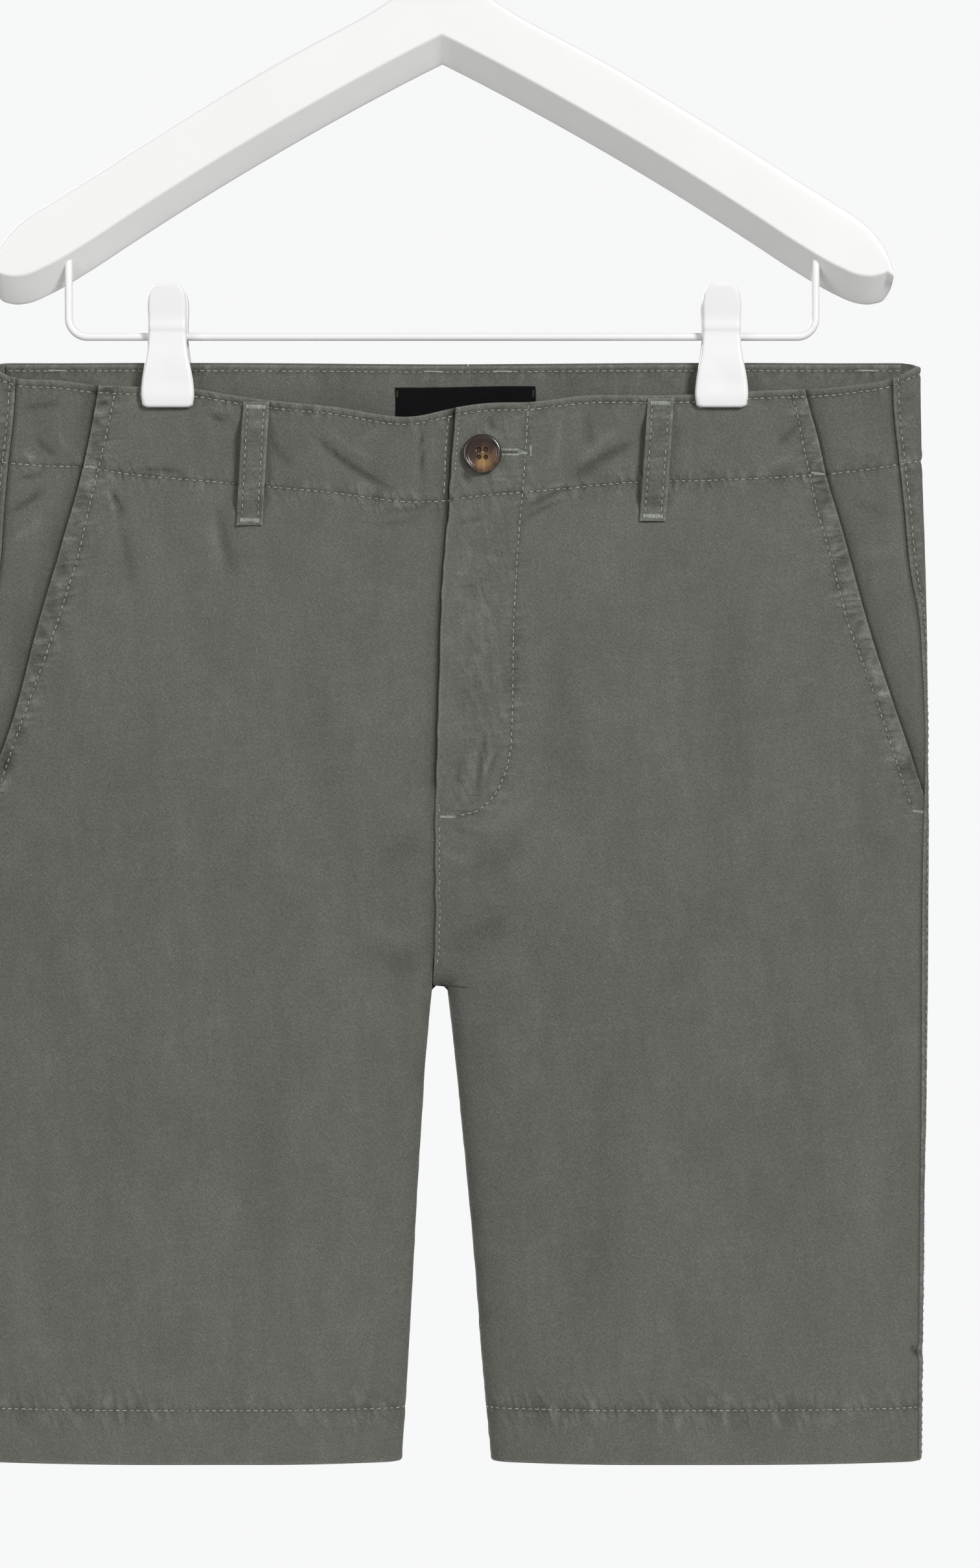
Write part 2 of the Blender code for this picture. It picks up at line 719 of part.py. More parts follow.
BUTTON_SEAT = 6  # the cloth is felt this far from the button's middle
HOLE_ACROSS = 1.65  # the four holes, from the button's middle
HOLE_UP = 1.85
HOLE_RADIUS = 0.95
# (radius, y) from the middle of the back, round the rim, to the middle of the dished face
BUTTON_PROFILE = (
    (0.0, 0.0), (6.4, 0.0), (8.6, -0.5), (9.3, -1.4), (BUTTON_RADIUS, -2.1), (9.0, -2.9),
    (8.2, -3.2), (7.5, -3.0), (7.0, -2.5), (5.4, -2.2), (3.4, -2.05), (0.0, -2.0),
)


def button(surface):
    """A dished four-hole button with a raised rim, its back towards the cloth."""
    lift = FLY_RISE + SEAM_GAP + 3.0 * SEAT_CLEAR
    around = (-BUTTON_SEAT, 0, BUTTON_SEAT)
    seat = min(
        skin_y(1, FRONT, BUTTON_X + dx, BUTTON_Z + dz, lift) for dx in around for dz in around
    )
    made = revolved("button", BUTTON_PROFILE, 28, surface)
    made.location = (BUTTON_X * MM, seat * MM, BUTTON_Z * MM)
    for across in (-1, 1):
        for up in (-1, 1):
            place = (BUTTON_X + across * HOLE_ACROSS, seat - 1.5, BUTTON_Z + up * HOLE_UP)
            name = f"button_hole_{across + 1}{up + 1}"
            cut(made, cylinder_cutter(name, HOLE_RADIUS, 8.0, place, "y", sides=10))
    return made


# ---------------------------------------------------------------- hanger
ARM = (
    ArmSlice(0.0, -132.6, -94.5),
    ArmSlice(8.0, -136.6, -95.6),
    ArmSlice(40.0, -153.4, -113.0),
    ArmSlice(80.0, -175.9, -134.5),
    ArmSlice(120.0, -200.0, -158.4),
    ArmSlice(150.0, -219.2, -177.0),
    ArmSlice(172.0, -233.6, -191.0),
    ArmSlice(190.0, -244.0, -202.2),
    ArmSlice(201.0, -248.4, -209.4),
    ArmSlice(209.0, -248.6, -217.2),
    ArmSlice(214.5, -246.0, -226.0),
    ArmSlice(217.2, -241.6, -233.6),
)
ARM_FRONT = -5.0
ARM_BACK = 11.0
UNDERSIDE_RISE = 12.0  # the underside slopes up to the front by this much
HOOK_SOCKET_Z = -98.0  # middles and lengths of the holes that take the wires
HOOK_SOCKET_LENGTH = 24.0
BAR_SOCKET_Z = -232.0
BAR_SOCKET_LENGTH = 26.0


def arm_ring(lower, upper):
    """Cross section of an arm in (y, z): flat face, sloped underside, eased corners."""
    height = upper - lower
    ease = min(3.0, 0.3 * height)
    rise = min(UNDERSIDE_RISE, 0.55 * height)
    return (
        (ARM_FRONT, lower + rise + 0.4 * ease),
        (ARM_FRONT, upper - ease),
        (ARM_FRONT + 0.8, upper - 0.3 * ease),
        (ARM_FRONT + 2.6, upper),
        (ARM_BACK - 2.6, upper),
        (ARM_BACK - 0.8, upper - 0.3 * ease),
        (ARM_BACK, upper - ease),
        (ARM_BACK, lower + 0.6 * ease),
        (ARM_BACK - 1.2, lower),
        (ARM_FRONT + 1.0, lower + rise - 0.9),
    )


def hanger_arms(surface):
    """Both arms as one moulded body, with sockets for the hook and the bar's ends."""
    slices = [(-row.x, row.lower, row.upper) for row in reversed(ARM[1:])]
    slices += [(row.x, row.lower, row.upper) for row in ARM]
    rings = []
    for x, lower, upper in slices:
        rings.append([(x, y, z) for y, z in arm_ring(lower, upper)])
    arms = lofted("hanger_arms", rings, surface)
    socket = WIRE_RADIUS + SEAM_GAP
    place = (0.0, 0.0, HOOK_SOCKET_Z)
    cut(arms, cylinder_cutter("hook_socket", socket, HOOK_SOCKET_LENGTH, place, "z"))
    for side in (-1, 1):
        place = (side * BAR_HALF, 0.0, BAR_SOCKET_Z)
        name = f"bar_socket_{side + 1}"
        cut(arms, cylinder_cutter(name, socket, BAR_SOCKET_LENGTH, place, "z"))
    return arms


def wire(name, path, surface):
    """A round wire along a path of (x, z) points in the hanger's plane."""
    line = bpy.data.curves.new(name, "CURVE")
    line.dimensions = "3D"
    line.bevel_depth = WIRE_RADIUS * MM
    line.bevel_resolution = 2
    line.use_fill_caps = True
    spline = line.splines.new("POLY")
    spline.points.add(len(path) - 1)
    for point, (x, z) in zip(spline.points, path):
        point.co = (x * MM, 0.0, z * MM, 1.0)
    line.materials.append(surface)
    made = bpy.data.objects.new(name, line)
    bpy.context.scene.collection.objects.link(made)
    return made


def arc(centre, radius, start, stop, steps):
    """Points on an arc from one angle to another, in degrees."""
    points = []
    for step in range(steps + 1):
        angle = math.radians(start + (stop - start) * step / steps)
        points.append((centre[0] + radius * math.cos(angle), centre[1] + radius * math.sin(angle)))
    return points


def hanger_hook(surface):
    """Hook whose inner top is the origin, then an easy bend back to the middle."""
    centre = (0.0, WIRE_RADIUS - HOOK_RADIUS)
    path = arc(centre, HOOK_RADIUS, 205.0, -48.0, 26)
    end = path[-1]
    neck_radius = 16.0
    neck = arc((neck_radius, end[1] - 23.5), neck_radius, 118.0, 180.0, 6)
    path += neck
    path += [(0.0, neck[-1][1] - 8.0), (0.0, -86.0), (0.0, -106.0)]
    return wire("hanger_hook", path, surface)


def clip_bar(surface):
    """Straight bar between two upright ends that plug into the arms."""
    top = -224.5
    left = arc((-BAR_HALF + BAR_BEND, BAR_Z + BAR_BEND), BAR_BEND, 180.0, 270.0, 5)
    right = arc((BAR_HALF - BAR_BEND, BAR_Z + BAR_BEND), BAR_BEND, 270.0, 360.0, 5)
    return wire("clip_bar", [(-BAR_HALF, top)] + left + right + [(BAR_HALF, top)], surface)


JawSlice = namedtuple("JawSlice", "z half_width inside thick")
JAW = (
    JawSlice(-240.6, 3.2, 8.2, 2.4),
    JawSlice(-241.8, 5.8, 7.9, 2.9),
    JawSlice(-244.4, 8.0, 7.2, 3.3),
    JawSlice(-249.0, 9.1, 6.2, 3.6),
    JawSlice(-258.0, 9.1, 4.6, 3.8),
    JawSlice(-262.6, 9.1, 4.1, 4.2),
    JawSlice(-263.6, 9.1, 2.2, 5.8),
    JawSlice(-267.6, 9.2, 2.2, 5.7),
    JawSlice(-268.8, 9.3, 4.2, 3.7),
    JawSlice(-276.0, 10.2, 4.9, 3.3),
    JawSlice(-284.0, 11.8, 4.9, 3.3),
    JawSlice(-288.0, 12.4, 3.7, 4.2),
    JawSlice(-297.4, 12.3, 3.7, 3.5),
    JawSlice(-299.3, 11.7, 3.7, 3.0),
    JawSlice(-300.0, 10.4, 3.7, 2.5),
)


JAW_EASE = 0.9  # bevel along a jaw's outer corners


def clip_jaw(name, x, face, surface):
    """One jaw of a clip: a curved plate that rides on the bar and grips the waist."""
    rings = []
    for row in JAW:
        half = row.half_width
        near = row.inside
        far = row.inside + row.thick
        corners = (
            (-half, near), (-half, far - JAW_EASE), (-half + JAW_EASE, far),
            (half - JAW_EASE, far), (half, far - JAW_EASE), (half, near),
        )
        rings.append([(x + across, face * out, row.z) for across, out in corners])
    return lofted(name, rings, surface)


def main():
    for item in list(bpy.data.objects):
        bpy.data.objects.remove(item)

    twill = material("cloth_twill", (0.125, 0.130, 0.112), 0.92)
    loop_cloth = material("loop_twill", (0.120, 0.125, 0.108), 0.92)
    facing_cloth = material("facing_twill", (0.122, 0.127, 0.110), 0.92)
    label_weave = material("label_weave", (0.014, 0.013, 0.014), 0.7)
    horn = material("button_horn", (0.11, 0.05, 0.02), 0.3)
    white = material("hanger_white", (0.86, 0.86, 0.85), 0.35)
    bar_white = material("bar_white", (0.88, 0.88, 0.87), 0.3)
    clip_white = material("clip_white", (0.88, 0.88, 0.87), 0.35)

    front(-1, "front_left", twill)
    front(1, "front_right", twill)
    left_outer, left_inner = back_grid(-1)
    right_outer, right_inner = back_grid(1)
    closed_shell("back_left", left_outer, left_inner, twill)
    closed_shell("back_right", right_outer, right_inner, twill)
    side_piece(-1, "side_piece_left", twill)
    side_piece(1, "side_piece_right", twill)
    facing = inside_strip(
        "back_facing", left_inner, right_inner, 4, None, FACING_CLOTH, facing_cloth
    )
    label(facing, label_weave)

    loop_drop = LOOP_LENGTH + 0.5
    loop_top = BACK_TOP - 1.2
    belt_loop("belt_loop_front_right", 1, FRONT, (105.3, -295.6), (101.1, -355.0), loop_cloth)
    belt_loop("belt_loop_front_left", -1, FRONT, (-89.2, -297.4), (-92.3, -357.0), loop_cloth)
    for name, side, x in (
        ("belt_loop_side_left", -1, -194.0), ("belt_loop_side_right", 1, 204.6),
        ("belt_loop_back_left", -1, -4.4), ("belt_loop_back_right", 1, 29.4),
    ):
        bottom = (x - 0.6, loop_top - loop_drop)
        belt_loop(name, side, BACK, (x, loop_top), bottom, loop_cloth)
    button(horn)

    hanger_arms(white)
    hanger_hook(bar_white)
    clip_bar(bar_white)
    for name, x in (("left", CLIP_LEFT), ("right", CLIP_RIGHT)):
        clip_jaw(f"clip_front_{name}", x, FRONT, clip_white)
        clip_jaw(f"clip_back_{name}", x, BACK, clip_white)


main()
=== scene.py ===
"""The looks of chino shorts that hang by the waist from a clip hanger.

Metres and +Z up in Blender; the sizes below are millimetres until MM turns them into metres.
The front faces -Y and left is -X. The origin is the inner top of the hanger's hook.

Each cut piece is a thin shell on the form that its solid has: a silhouette (OUTLINE and GAP)
filled out to a small depth (DEPTH). A Relief adds folded edges, stitch grooves, ripples and
creases, and keeps for the material how worn and how gathered the cloth is, and the painted
shade and painted highlight in its colour: darker in troughs, grooves and under laps, paler on ridges.
"""

import math
from collections import namedtuple

import bpy
import numpy as np
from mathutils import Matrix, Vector
from mathutils.bvhtree import BVHTree


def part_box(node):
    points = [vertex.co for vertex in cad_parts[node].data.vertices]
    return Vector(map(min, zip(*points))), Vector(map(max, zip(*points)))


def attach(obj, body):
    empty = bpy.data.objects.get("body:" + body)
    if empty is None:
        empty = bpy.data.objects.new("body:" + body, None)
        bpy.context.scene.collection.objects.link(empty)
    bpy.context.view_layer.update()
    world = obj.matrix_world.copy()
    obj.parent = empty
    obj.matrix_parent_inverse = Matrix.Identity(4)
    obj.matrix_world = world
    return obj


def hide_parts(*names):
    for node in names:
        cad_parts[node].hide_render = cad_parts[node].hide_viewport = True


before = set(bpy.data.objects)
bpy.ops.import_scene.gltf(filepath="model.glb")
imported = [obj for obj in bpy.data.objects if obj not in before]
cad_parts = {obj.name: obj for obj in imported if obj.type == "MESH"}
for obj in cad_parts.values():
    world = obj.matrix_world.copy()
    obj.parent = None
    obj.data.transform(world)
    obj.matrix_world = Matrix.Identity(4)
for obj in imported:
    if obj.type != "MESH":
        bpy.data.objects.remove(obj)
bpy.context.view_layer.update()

MM = 0.001
FRONT = -1
BACK = 1
QUARTER_TURN = 0.5 * math.pi

# ---------------------------------------------------------------- the form's driving sizes
BACK_TOP = -278.0
FRONT_TOP = -292.0
CROTCH = -578.4
HEM = -806.9
POCKET_END = -486.9
FLY_END = -496.3
CLOTH = 1.2
BAND_CLOTH = 1.7
BAND_DEPTH = 46.0
HEM_DEPTH = 28.0
SEAM_GAP = 0.3
FACING_CLOTH = 1.0
EDGE_ROUND = 8.0
FLY_LAP = 35.0
CROTCH_LAP = 8.0
FLY_RISE = 0.75
CLIP_HOLD = 3.2
CLIP_FLAT = 15.0
CLIP_LEFT = -131.9
CLIP_RIGHT = 134.4
WAIST_OPEN = 9.3
WAIST_SIDE = 5.0
SHIFT_END = -360.0
SEAM_REACH = 13.0
WAIST_BLEND = -400.0  # where the pinched waist begins, and how far up it is complete
WAIST_BLEND_RISE = 100.0
OUTER_SWELL = 90.0  # distances from both edges at which a leg is filled out
INNER_SWELL = 70.0
LOOP_WIDTH = 12.5
LOOP_LENGTH = 59.0
LOOP_CLOTH = 1.4
LOOP_RISE = 3.4
BUTTON_X = 19.4
BUTTON_Z = -322.8
BUTTON_RADIUS = 9.4
WIRE_RADIUS = 1.9
BAR_HALF = 180.0
BAR_Z = -265.6
BAR_BEND = 9.0
HOOK_RADIUS = 22.0

# ---------------------------------------------------------------- cloth and grids
EDGE_ROLL = 0.7  # over what distance a folded edge is round
PANEL_UNEVEN = 0.6  # how uneven the fronts and the backs are, against the side pieces
BACK_START = 460.0  # where the backs begin in the flat cloth's coordinates
SPOT_CLOSER = 0.6  # how much closer grid lines stand round a spot, and how far round it
SPOT_REACH = 2.2
INNER_SKIP = 3  # an inner skin keeps every third row and column

# ---------------------------------------------------------------- sewing
IN_FRONT = -30.0  # a y before all cloth, from which lines are dropped onto it
STRAIGHT_IN = (0.0, 1.0, 0.0)
LAID_STEP = 1.5
TOPSTITCH = 3.7  # upper stitch line, below the waist edge
SEAM_STITCH = 2.8  # stitch line along the lapped side seam
HEM_STITCH = 26.0  # above the hem
FLY_EDGE_STITCH = 2.1  # stitch lines beside the fly's edge, on the overlap and the underlap
UNDERLAP_STITCH = 2.4
SEAT_STITCH = 2.2  # beside the centre-back seam
FACING_STITCH = 3.0  # below the facing's top
STITCH_PITCH = 3.3
STITCH_LENGTH = 2.35
THREAD_RADIUS = 0.31
TACK_PITCH = 0.34
HOLE_SHADE_TONE = -3.4  # painted shade of a needle hole, far darker than any thread
CREASE_DEPTH = 2.6  # height of all small creases against CREASES
CREASE_SHADE = 1.7  # painted shade in their troughs, and ridges paler: rubbed wear with painted highlight


def table(fields, *rows):
    """Rows of numbers with named columns."""
    kind = namedtuple("Row", fields)
    return tuple(kind(*row) for row in rows)


Crease = namedtuple("Crease", "face x0 z0 x1 z1 width height bend")

OUTLINE = table(
    "z left right",
    (-278.0, -218.8, 230.3), (-327.0, -220.0, 231.3), (-381.0, -220.6, 233.1),
    (-458.0, -221.6, 234.1), (-509.0, -222.8, 234.5), (-578.0, -224.4, 234.2),
    (-666.0, -225.6, 232.8), (-756.0, -226.0, 231.4), (-807.0, -226.3, 230.9),
)

GAP = table(
    "z left right",
    (-578.4, -4.4, 2.3), (-608.0, -7.2, 5.6), (-645.0, -9.7, 9.4), (-681.0, -11.9, 12.8),
    (-718.0, -13.8, 16.1), (-756.0, -16.0, 19.0), (-807.0, -19.2, 23.6),
)

MIDDLE = table(
    "z front back",
    (-278.0, 7.4, 12.5), (-301.0, 6.2, 11.6), (-314.0, 4.7, 11.0), (-335.0, 3.7, 10.0),
    (-353.0, 2.8, 9.2), (-384.0, 0.3, 7.8), (-447.0, -1.9, 5.0), (-496.0, -3.1, 2.5),
    (-553.0, -3.3, 0.0), (-578.4, -4.4, -1.1),
)

DEPTH = table(
    "z middle edge",
    (-278.0, 7.0, 3.6), (-330.0, 9.0, 4.4), (-400.0, 15.0, 6.2), (-460.0, 19.0, 7.0),
    (-520.0, 21.0, 7.2), (-580.0, 19.0, 6.6), (-650.0, 17.0, 6.2), (-740.0, 16.0, 6.0),
    (-807.0, 17.0, 6.4),
)

FRONT_EDGE = table(
    "x z",
    (-218.8, -280.0), (-207.5, -285.0), (-185.0, -286.9), (-166.0, -289.1), (-119.4, -290.9),
    (-94.4, -295.0), (-52.8, -299.8), (-12.0, -304.6), (6.2, -300.6), (22.2, -298.4),
    (42.0, -297.8), (68.0, -294.5), (108.8, -294.1), (146.2, -292.2), (197.0, -289.4),
    (216.0, -286.2), (230.3, -280.0),
)

# Lower stitch line of the waist, where the facing inside ends.
BAND_LINE = table(
    "x z",
    (-220.0, -325.7), (-193.4, -328.1), (-173.8, -328.8), (-152.5, -331.9), (-101.9, -336.6),
    (-52.8, -341.3), (-13.1, -345.9), (2.0, -345.2), (19.0, -343.0), (38.8, -341.3), (68.1, -338.4),
    (86.9, -336.6), (135.9, -335.0), (180.6, -332.5), (200.0, -330.6), (231.0, -325.7),
)

SIDE_SEAM = table(
    "z inset",
    (-278.0, 14.0), (-302.0, 13.6), (-327.0, 11.6), (-346.0, 10.2), (-380.0, 8.0), (-400.0, 4.2),
    (-426.0, 2.4), (-461.0, 1.2), (-509.0, 3.0), (-666.0, 2.2), (-807.0, 1.2),
)

POCKET_EDGE = table(
    "z left right",
    (-278.0, -164.6, 173.2), (-291.0, -166.2, 175.9), (-310.0, -169.4, 180.9),
    (-331.0, -173.6, 185.3), (-362.0, -181.6, 193.1), (-405.0, -193.8, 204.4),
    (-458.0, -208.4, 221.9), (-487.0, -220.2, 232.1),
)

FOLDS = table(
    "face x0 z0 x1 z1 width height",
    (FRONT, -63.0, -311.0, -20.0, -342.0, 7.0, -1.3),
    (FRONT, -108.0, -346.0, -97.0, -386.0, 8.0, -1.3),
    (FRONT, 74.0, -326.0, 58.0, -352.0, 8.0, -1.1), (FRONT, 104.0, -430.0, 96.0, -790.0, 30.0, 2.4),
    (FRONT, 168.0, -560.0, 160.0, -800.0, 24.0, -1.6),
    (FRONT, -104.0, -400.0, -112.0, -790.0, 32.0, 2.2),
    (FRONT, -58.0, -620.0, -66.0, -800.0, 20.0, -1.5),
    (FRONT, -168.0, -520.0, -176.0, -740.0, 20.0, -1.2),
    (FRONT, 46.0, -520.0, 52.0, -700.0, 18.0, -1.2), (BACK, 96.0, -400.0, 108.0, -780.0, 30.0, 2.4),
    (BACK, -92.0, -420.0, -104.0, -790.0, 30.0, 2.2),
    (BACK, 150.0, -330.0, 132.0, -420.0, 12.0, -1.4),
    (BACK, -142.0, -330.0, -126.0, -410.0, 12.0, -1.3),
    (BACK, 60.0, -560.0, 66.0, -760.0, 20.0, -1.6),
    (BACK, -164.0, -560.0, -158.0, -780.0, 22.0, -1.4),
)

# Small creases: x and z of both ends, half width, height (troughs are
# negative) and how far the middle bends sideways.
FRONT_CREASES = (
    # waist, left of the fly
    (-66.0, -309.0, -19.0, -342.5, 1.4, -0.62, 3.0), (-60.0, -305.0, -26.0, -329.0, 2.2, 0.22, 3.0),
    (-9.6, -304.0, -9.0, -344.5, 0.6, -0.44, 0.4), (-12.6, -306.0, -11.8, -343.0, 1.1, 0.11, 0.4),
    (-113.0, -303.0, -103.0, -307.0, 0.9, -0.44, 0.6), (-112.0, -299.5, -104.0, -302.5, 1.0, 0.25, 0.5),
    (-84.0, -312.0, -70.0, -330.0, 2.0, -0.27, 2.0), (-44.0, -318.0, -28.0, -308.0, 2.0, 0.17, 1.4),
    (-150.0, -330.0, -120.0, -333.0, 1.1, -0.42, -1.2), (-30.0, -350.5, -4.0, -347.0, 1.2, -0.31, 1.2),
    (-38.0, -357.0, -5.0, -352.0, 1.4, -0.23, 1.6),
    # waist, right of the fly
    (97.0, -315.0, 58.0, -339.0, 2.4, -0.49, 2.0), (88.0, -309.0, 64.0, -330.0, 2.4, 0.25, 2.0),
    (66.0, -338.0, 38.0, -351.0, 1.2, -0.44, 1.4), (60.0, -336.6, 47.0, -341.4, 1.2, 0.40, 0.4),
    (60.0, -345.0, 36.0, -357.6, 1.2, -0.34, 1.6), (70.0, -301.0, 74.0, -322.0, 2.4, -0.29, 1.4),
    (56.0, -303.0, 52.0, -333.0, 1.7, 0.26, -1.6), (22.0, -303.0, 27.0, -314.0, 1.2, -0.44, 0.8),
    (9.6, -331.0, 15.0, -336.5, 1.3, -0.60, 0.6), (24.0, -334.5, 35.0, -338.5, 1.3, 0.31, -0.6),
    (160.0, -318.0, 172.0, -308.0, 1.6, -0.44, 1.0), (152.0, -330.0, 170.0, -322.0, 1.7, 0.27, 1.0),
    # beside the left pocket and the left loop
    (-163.6, -337.5, -157.0, -354.0, 0.9, 0.62, -1.2), (-160.2, -338.5, -153.6, -356.0, 1.1, -0.73, -1.2),
    (-106.9, -344.0, -97.0, -386.0, 2.3, -0.42, 2.4), (-111.0, -346.0, -103.0, -380.0, 2.9, 0.22, 2.4),
    (-156.0, -352.0, -148.0, -392.0, 2.0, -0.27, -1.6),
    # left side piece
    (-207.0, -334.8, -190.0, -331.0, 0.9, -0.44, 0.6), (-204.0, -320.0, -192.0, -326.0, 1.0, 0.29, 0.8),
    (-197.0, -313.0, -184.0, -324.0, 1.0, -0.48, 1.2), (-185.5, -309.0, -179.0, -322.0, 0.9, 0.29, 0.8),
    (-212.0, -352.0, -190.0, -338.0, 1.4, -0.48, 1.4), (-210.0, -365.0, -190.0, -352.0, 2.0, 0.22, 1.4),
    (-205.0, -300.0, -182.0, -297.0, 1.4, -0.35, 1.0),
    # right side piece and the strip outside the seam
    (219.0, -297.0, 229.0, -294.6, 0.9, -0.40, 0.3), (220.0, -303.5, 229.0, -305.5, 0.9, 0.25, 0.3),
    (221.0, -331.0, 230.0, -333.5, 0.9, -0.40, 0.3), (190.0, -318.0, 215.0, -322.0, 2.4, 0.14, 1.0),
    (196.0, -345.0, 219.0, -352.0, 2.4, -0.22, 1.2), (200.0, -372.0, 222.0, -366.0, 2.7, 0.16, 1.2),
    (224.5, -750.5, 232.0, -757.0, 1.1, -0.90, 0.6),
    # fly
    (22.5, -452.0, 16.5, -494.0, 1.0, -0.40, 1.2), (28.0, -462.0, 21.0, -489.0, 1.0, -0.34, 1.4),
    (25.5, -464.0, 19.4, -482.0, 1.3, 0.25, 1.0), (6.0, -381.0, 14.0, -378.0, 1.3, 0.24, 0.4),
    (6.0, -387.0, 25.0, -382.0, 0.9, -0.22, 1.2), (5.0, -404.0, 27.0, -396.0, 2.6, 0.15, 1.2),
    (8.0, -430.0, 30.0, -436.0, 4.0, -0.10, 1.2), (22.0, -412.0, 24.0, -452.0, 4.0, -0.12, 1.2),
    (9.0, -466.0, 7.6, -486.0, 1.0, -0.26, 0.4), (14.0, -398.0, 12.4, -446.0, 1.3, -0.16, 0.8),
    (3.0, -357.0, 22.0, -352.0, 1.2, -0.24, 1.0), (4.0, -367.0, 30.0, -371.0, 1.2, -0.18, -1.4),
    # under the end of the fly
    (3.0, -507.5, 47.0, -487.0, 5.0, 0.18, 2.6), (6.0, -528.0, 44.0, -503.0, 5.0, -0.16, 2.0),
    (2.0, -501.0, 24.0, -506.0, 1.1, -0.26, 1.4), (-2.0, -513.0, 16.0, -519.0, 1.7, 0.25, 1.0),
    (-30.0, -520.0, -6.0, -507.0, 5.0, -0.16, -1.6), (2.0, -560.0, 34.0, -540.0, 6.0, -0.20, 2.0),
    (-36.0, -556.0, -8.0, -572.0, 6.0, -0.22, 2.0), (-40.0, -546.0, -10.0, -560.0, 6.0, 0.13, 2.0),
    (10.0, -574.0, 44.0, -566.0, 6.0, 0.13, -2.0),
    # legs
    (190.0, -500.0, 222.0, -512.0, 5.0, -0.08, 1.6), (-200.0, -505.0, -170.0, -520.0, 6.0, -0.08, 1.6),
    (60.0, -400.0, 66.0, -520.0, 9.0, -0.08, 4.0), (130.0, -372.0, 140.0, -500.0, 10.0, -0.09, -4.0),
    (-60.0, -390.0, -50.0, -520.0, 9.0, -0.08, 3.0), (-140.0, -420.0, -134.0, -560.0, 9.0, -0.09, 4.0),
    (82.0, -590.0, 74.0, -760.0, 9.0, -0.10, 3.0), (206.0, -600.0, 198.0, -790.0, 9.0, 0.07, -3.0),
    (-92.0, -580.0, -84.0, -740.0, 9.0, -0.09, -3.0), (-198.0, -590.0, -202.0, -780.0, 9.0, 0.06, 3.0),
)
BACK_CREASES = (
    # back waist, as uneven as the front's
    (52.0, -290.0, 86.0, -318.0, 2.4, -0.38, 2.0), (58.0, -286.0, 92.0, -312.0, 2.6, 0.19, 2.0),
    (-40.0, -292.0, -70.0, -322.0, 2.4, -0.34, -2.0), (-98.0, -300.0, -84.0, -320.0, 2.4, 0.18, 1.6),
    (120.0, -300.0, 132.0, -322.0, 2.4, -0.26, 1.4), (168.0, -330.0, 150.0, -352.0, 2.6, -0.38, 1.6),
    (-160.0, -328.0, -140.0, -352.0, 2.6, -0.39, 1.8), (34.0, -330.0, 56.0, -352.0, 2.7, -0.38, 1.8),
    (-14.0, -330.0, -38.0, -350.0, 2.7, -0.35, -1.8),
    # back, round the seat
    (14.0, -470.0, 56.0, -440.0, 6.0, -0.24, 2.4), (10.0, -500.0, 62.0, -470.0, 6.0, 0.15, 2.4),
    (-8.0, -490.0, -54.0, -462.0, 6.0, -0.24, -2.4), (-6.0, -520.0, -58.0, -492.0, 6.0, 0.14, -2.4),
    (6.0, -560.0, 44.0, -536.0, 6.0, -0.26, 2.0), (-8.0, -556.0, -42.0, -534.0, 6.0, -0.24, -2.0),
    (140.0, -430.0, 150.0, -560.0, 10.0, -0.20, 4.0), (-136.0, -440.0, -146.0, -570.0, 10.0, -0.18, -4.0),
    (84.0, -600.0, 78.0, -770.0, 9.0, -0.20, 3.0), (-90.0, -600.0, -80.0, -760.0, 9.0, -0.18, 3.0),
    (190.0, -600.0, 196.0, -780.0, 9.0, 0.13, 3.0), (-196.0, -600.0, -190.0, -770.0, 9.0, 0.13, 3.0),
)
CREASES = [
    Crease(face, *row)
    for face, rows in ((FRONT, FRONT_CREASES), (BACK, BACK_CREASES))
    for row in rows
]

# Curved stitch line of the fly, ending in a bar tack at the fly's edge.
FLY_STITCH = (
    (41.9, -298.1), (40.9, -306.3), (40.5, -317.5), (39.7, -326.9),
    (38.8, -340.9), (37.7, -351.9), (36.3, -368.8), (34.4, -403.1),
    (33.8, -446.9), (33.2, -463.0), (31.2, -474.0), (27.5, -483.0),
    (22.6, -490.0), (16.4, -494.6), (7.0, -496.6),
)

# Bar tacks from and to (x, z): the pocket's upper and lower end, and the end of the fly.
FRONT_TACKS = {
    1: (
        ((177.6, -331.6), (183.8, -332.4)), ((226.0, -494.2), (231.4, -494.8)),
        ((-0.6, -496.9), (6.6, -497.0)),
    ),
    -1: (((-166.0, -329.0), (-172.0, -328.7)), ((-213.6, -493.6), (-219.0, -494.4))),
}

POCKET_STITCH = {
    1: (
        (168.4, -291.3), (169.4, -296.6), (171.3, -304.7), (173.4, -316.6),
        (176.6, -331.3), (180.0, -348.8), (186.6, -372.5), (194.1, -403.4),
        (204.4, -430.4), (214.7, -460.6), (225.0, -492.0),
    ),
    -1: (
        (-157.0, -290.0), (-159.1, -301.6), (-160.9, -310.0), (-162.8, -318.4),
        (-165.0, -328.4), (-168.6, -344.0), (-174.6, -372.5), (-184.0, -403.4),
        (-193.6, -430.4), (-204.6, -460.6), (-215.6, -492.0),
    ),
}

LOOPS = (
    # name, face, top x, top z, bottom x, bottom z
    ("belt_loop_front_right", FRONT, 105.3, -295.6, 101.1, -355.0),
    ("belt_loop_front_left", FRONT, -89.2, -297.4, -92.3, -357.0),
    ("belt_loop_side_left", BACK, -194.0, -279.2, -194.6, -338.7),
    ("belt_loop_side_right", BACK, 204.6, -279.2, 204.0, -338.7),
    ("belt_loop_back_left", BACK, -4.4, -279.2, -5.0, -338.7),
    ("belt_loop_back_right", BACK, 29.4, -279.2, 28.8, -338.7),
)


# ---------------------------------------------------------------- curves and noise
def smooth_step(t):
    t = np.clip(t, 0.0, 1.0)
    return t * t * (3.0 - 2.0 * t)


def bell(distance, width):
    return np.exp(-((distance / width) ** 2))


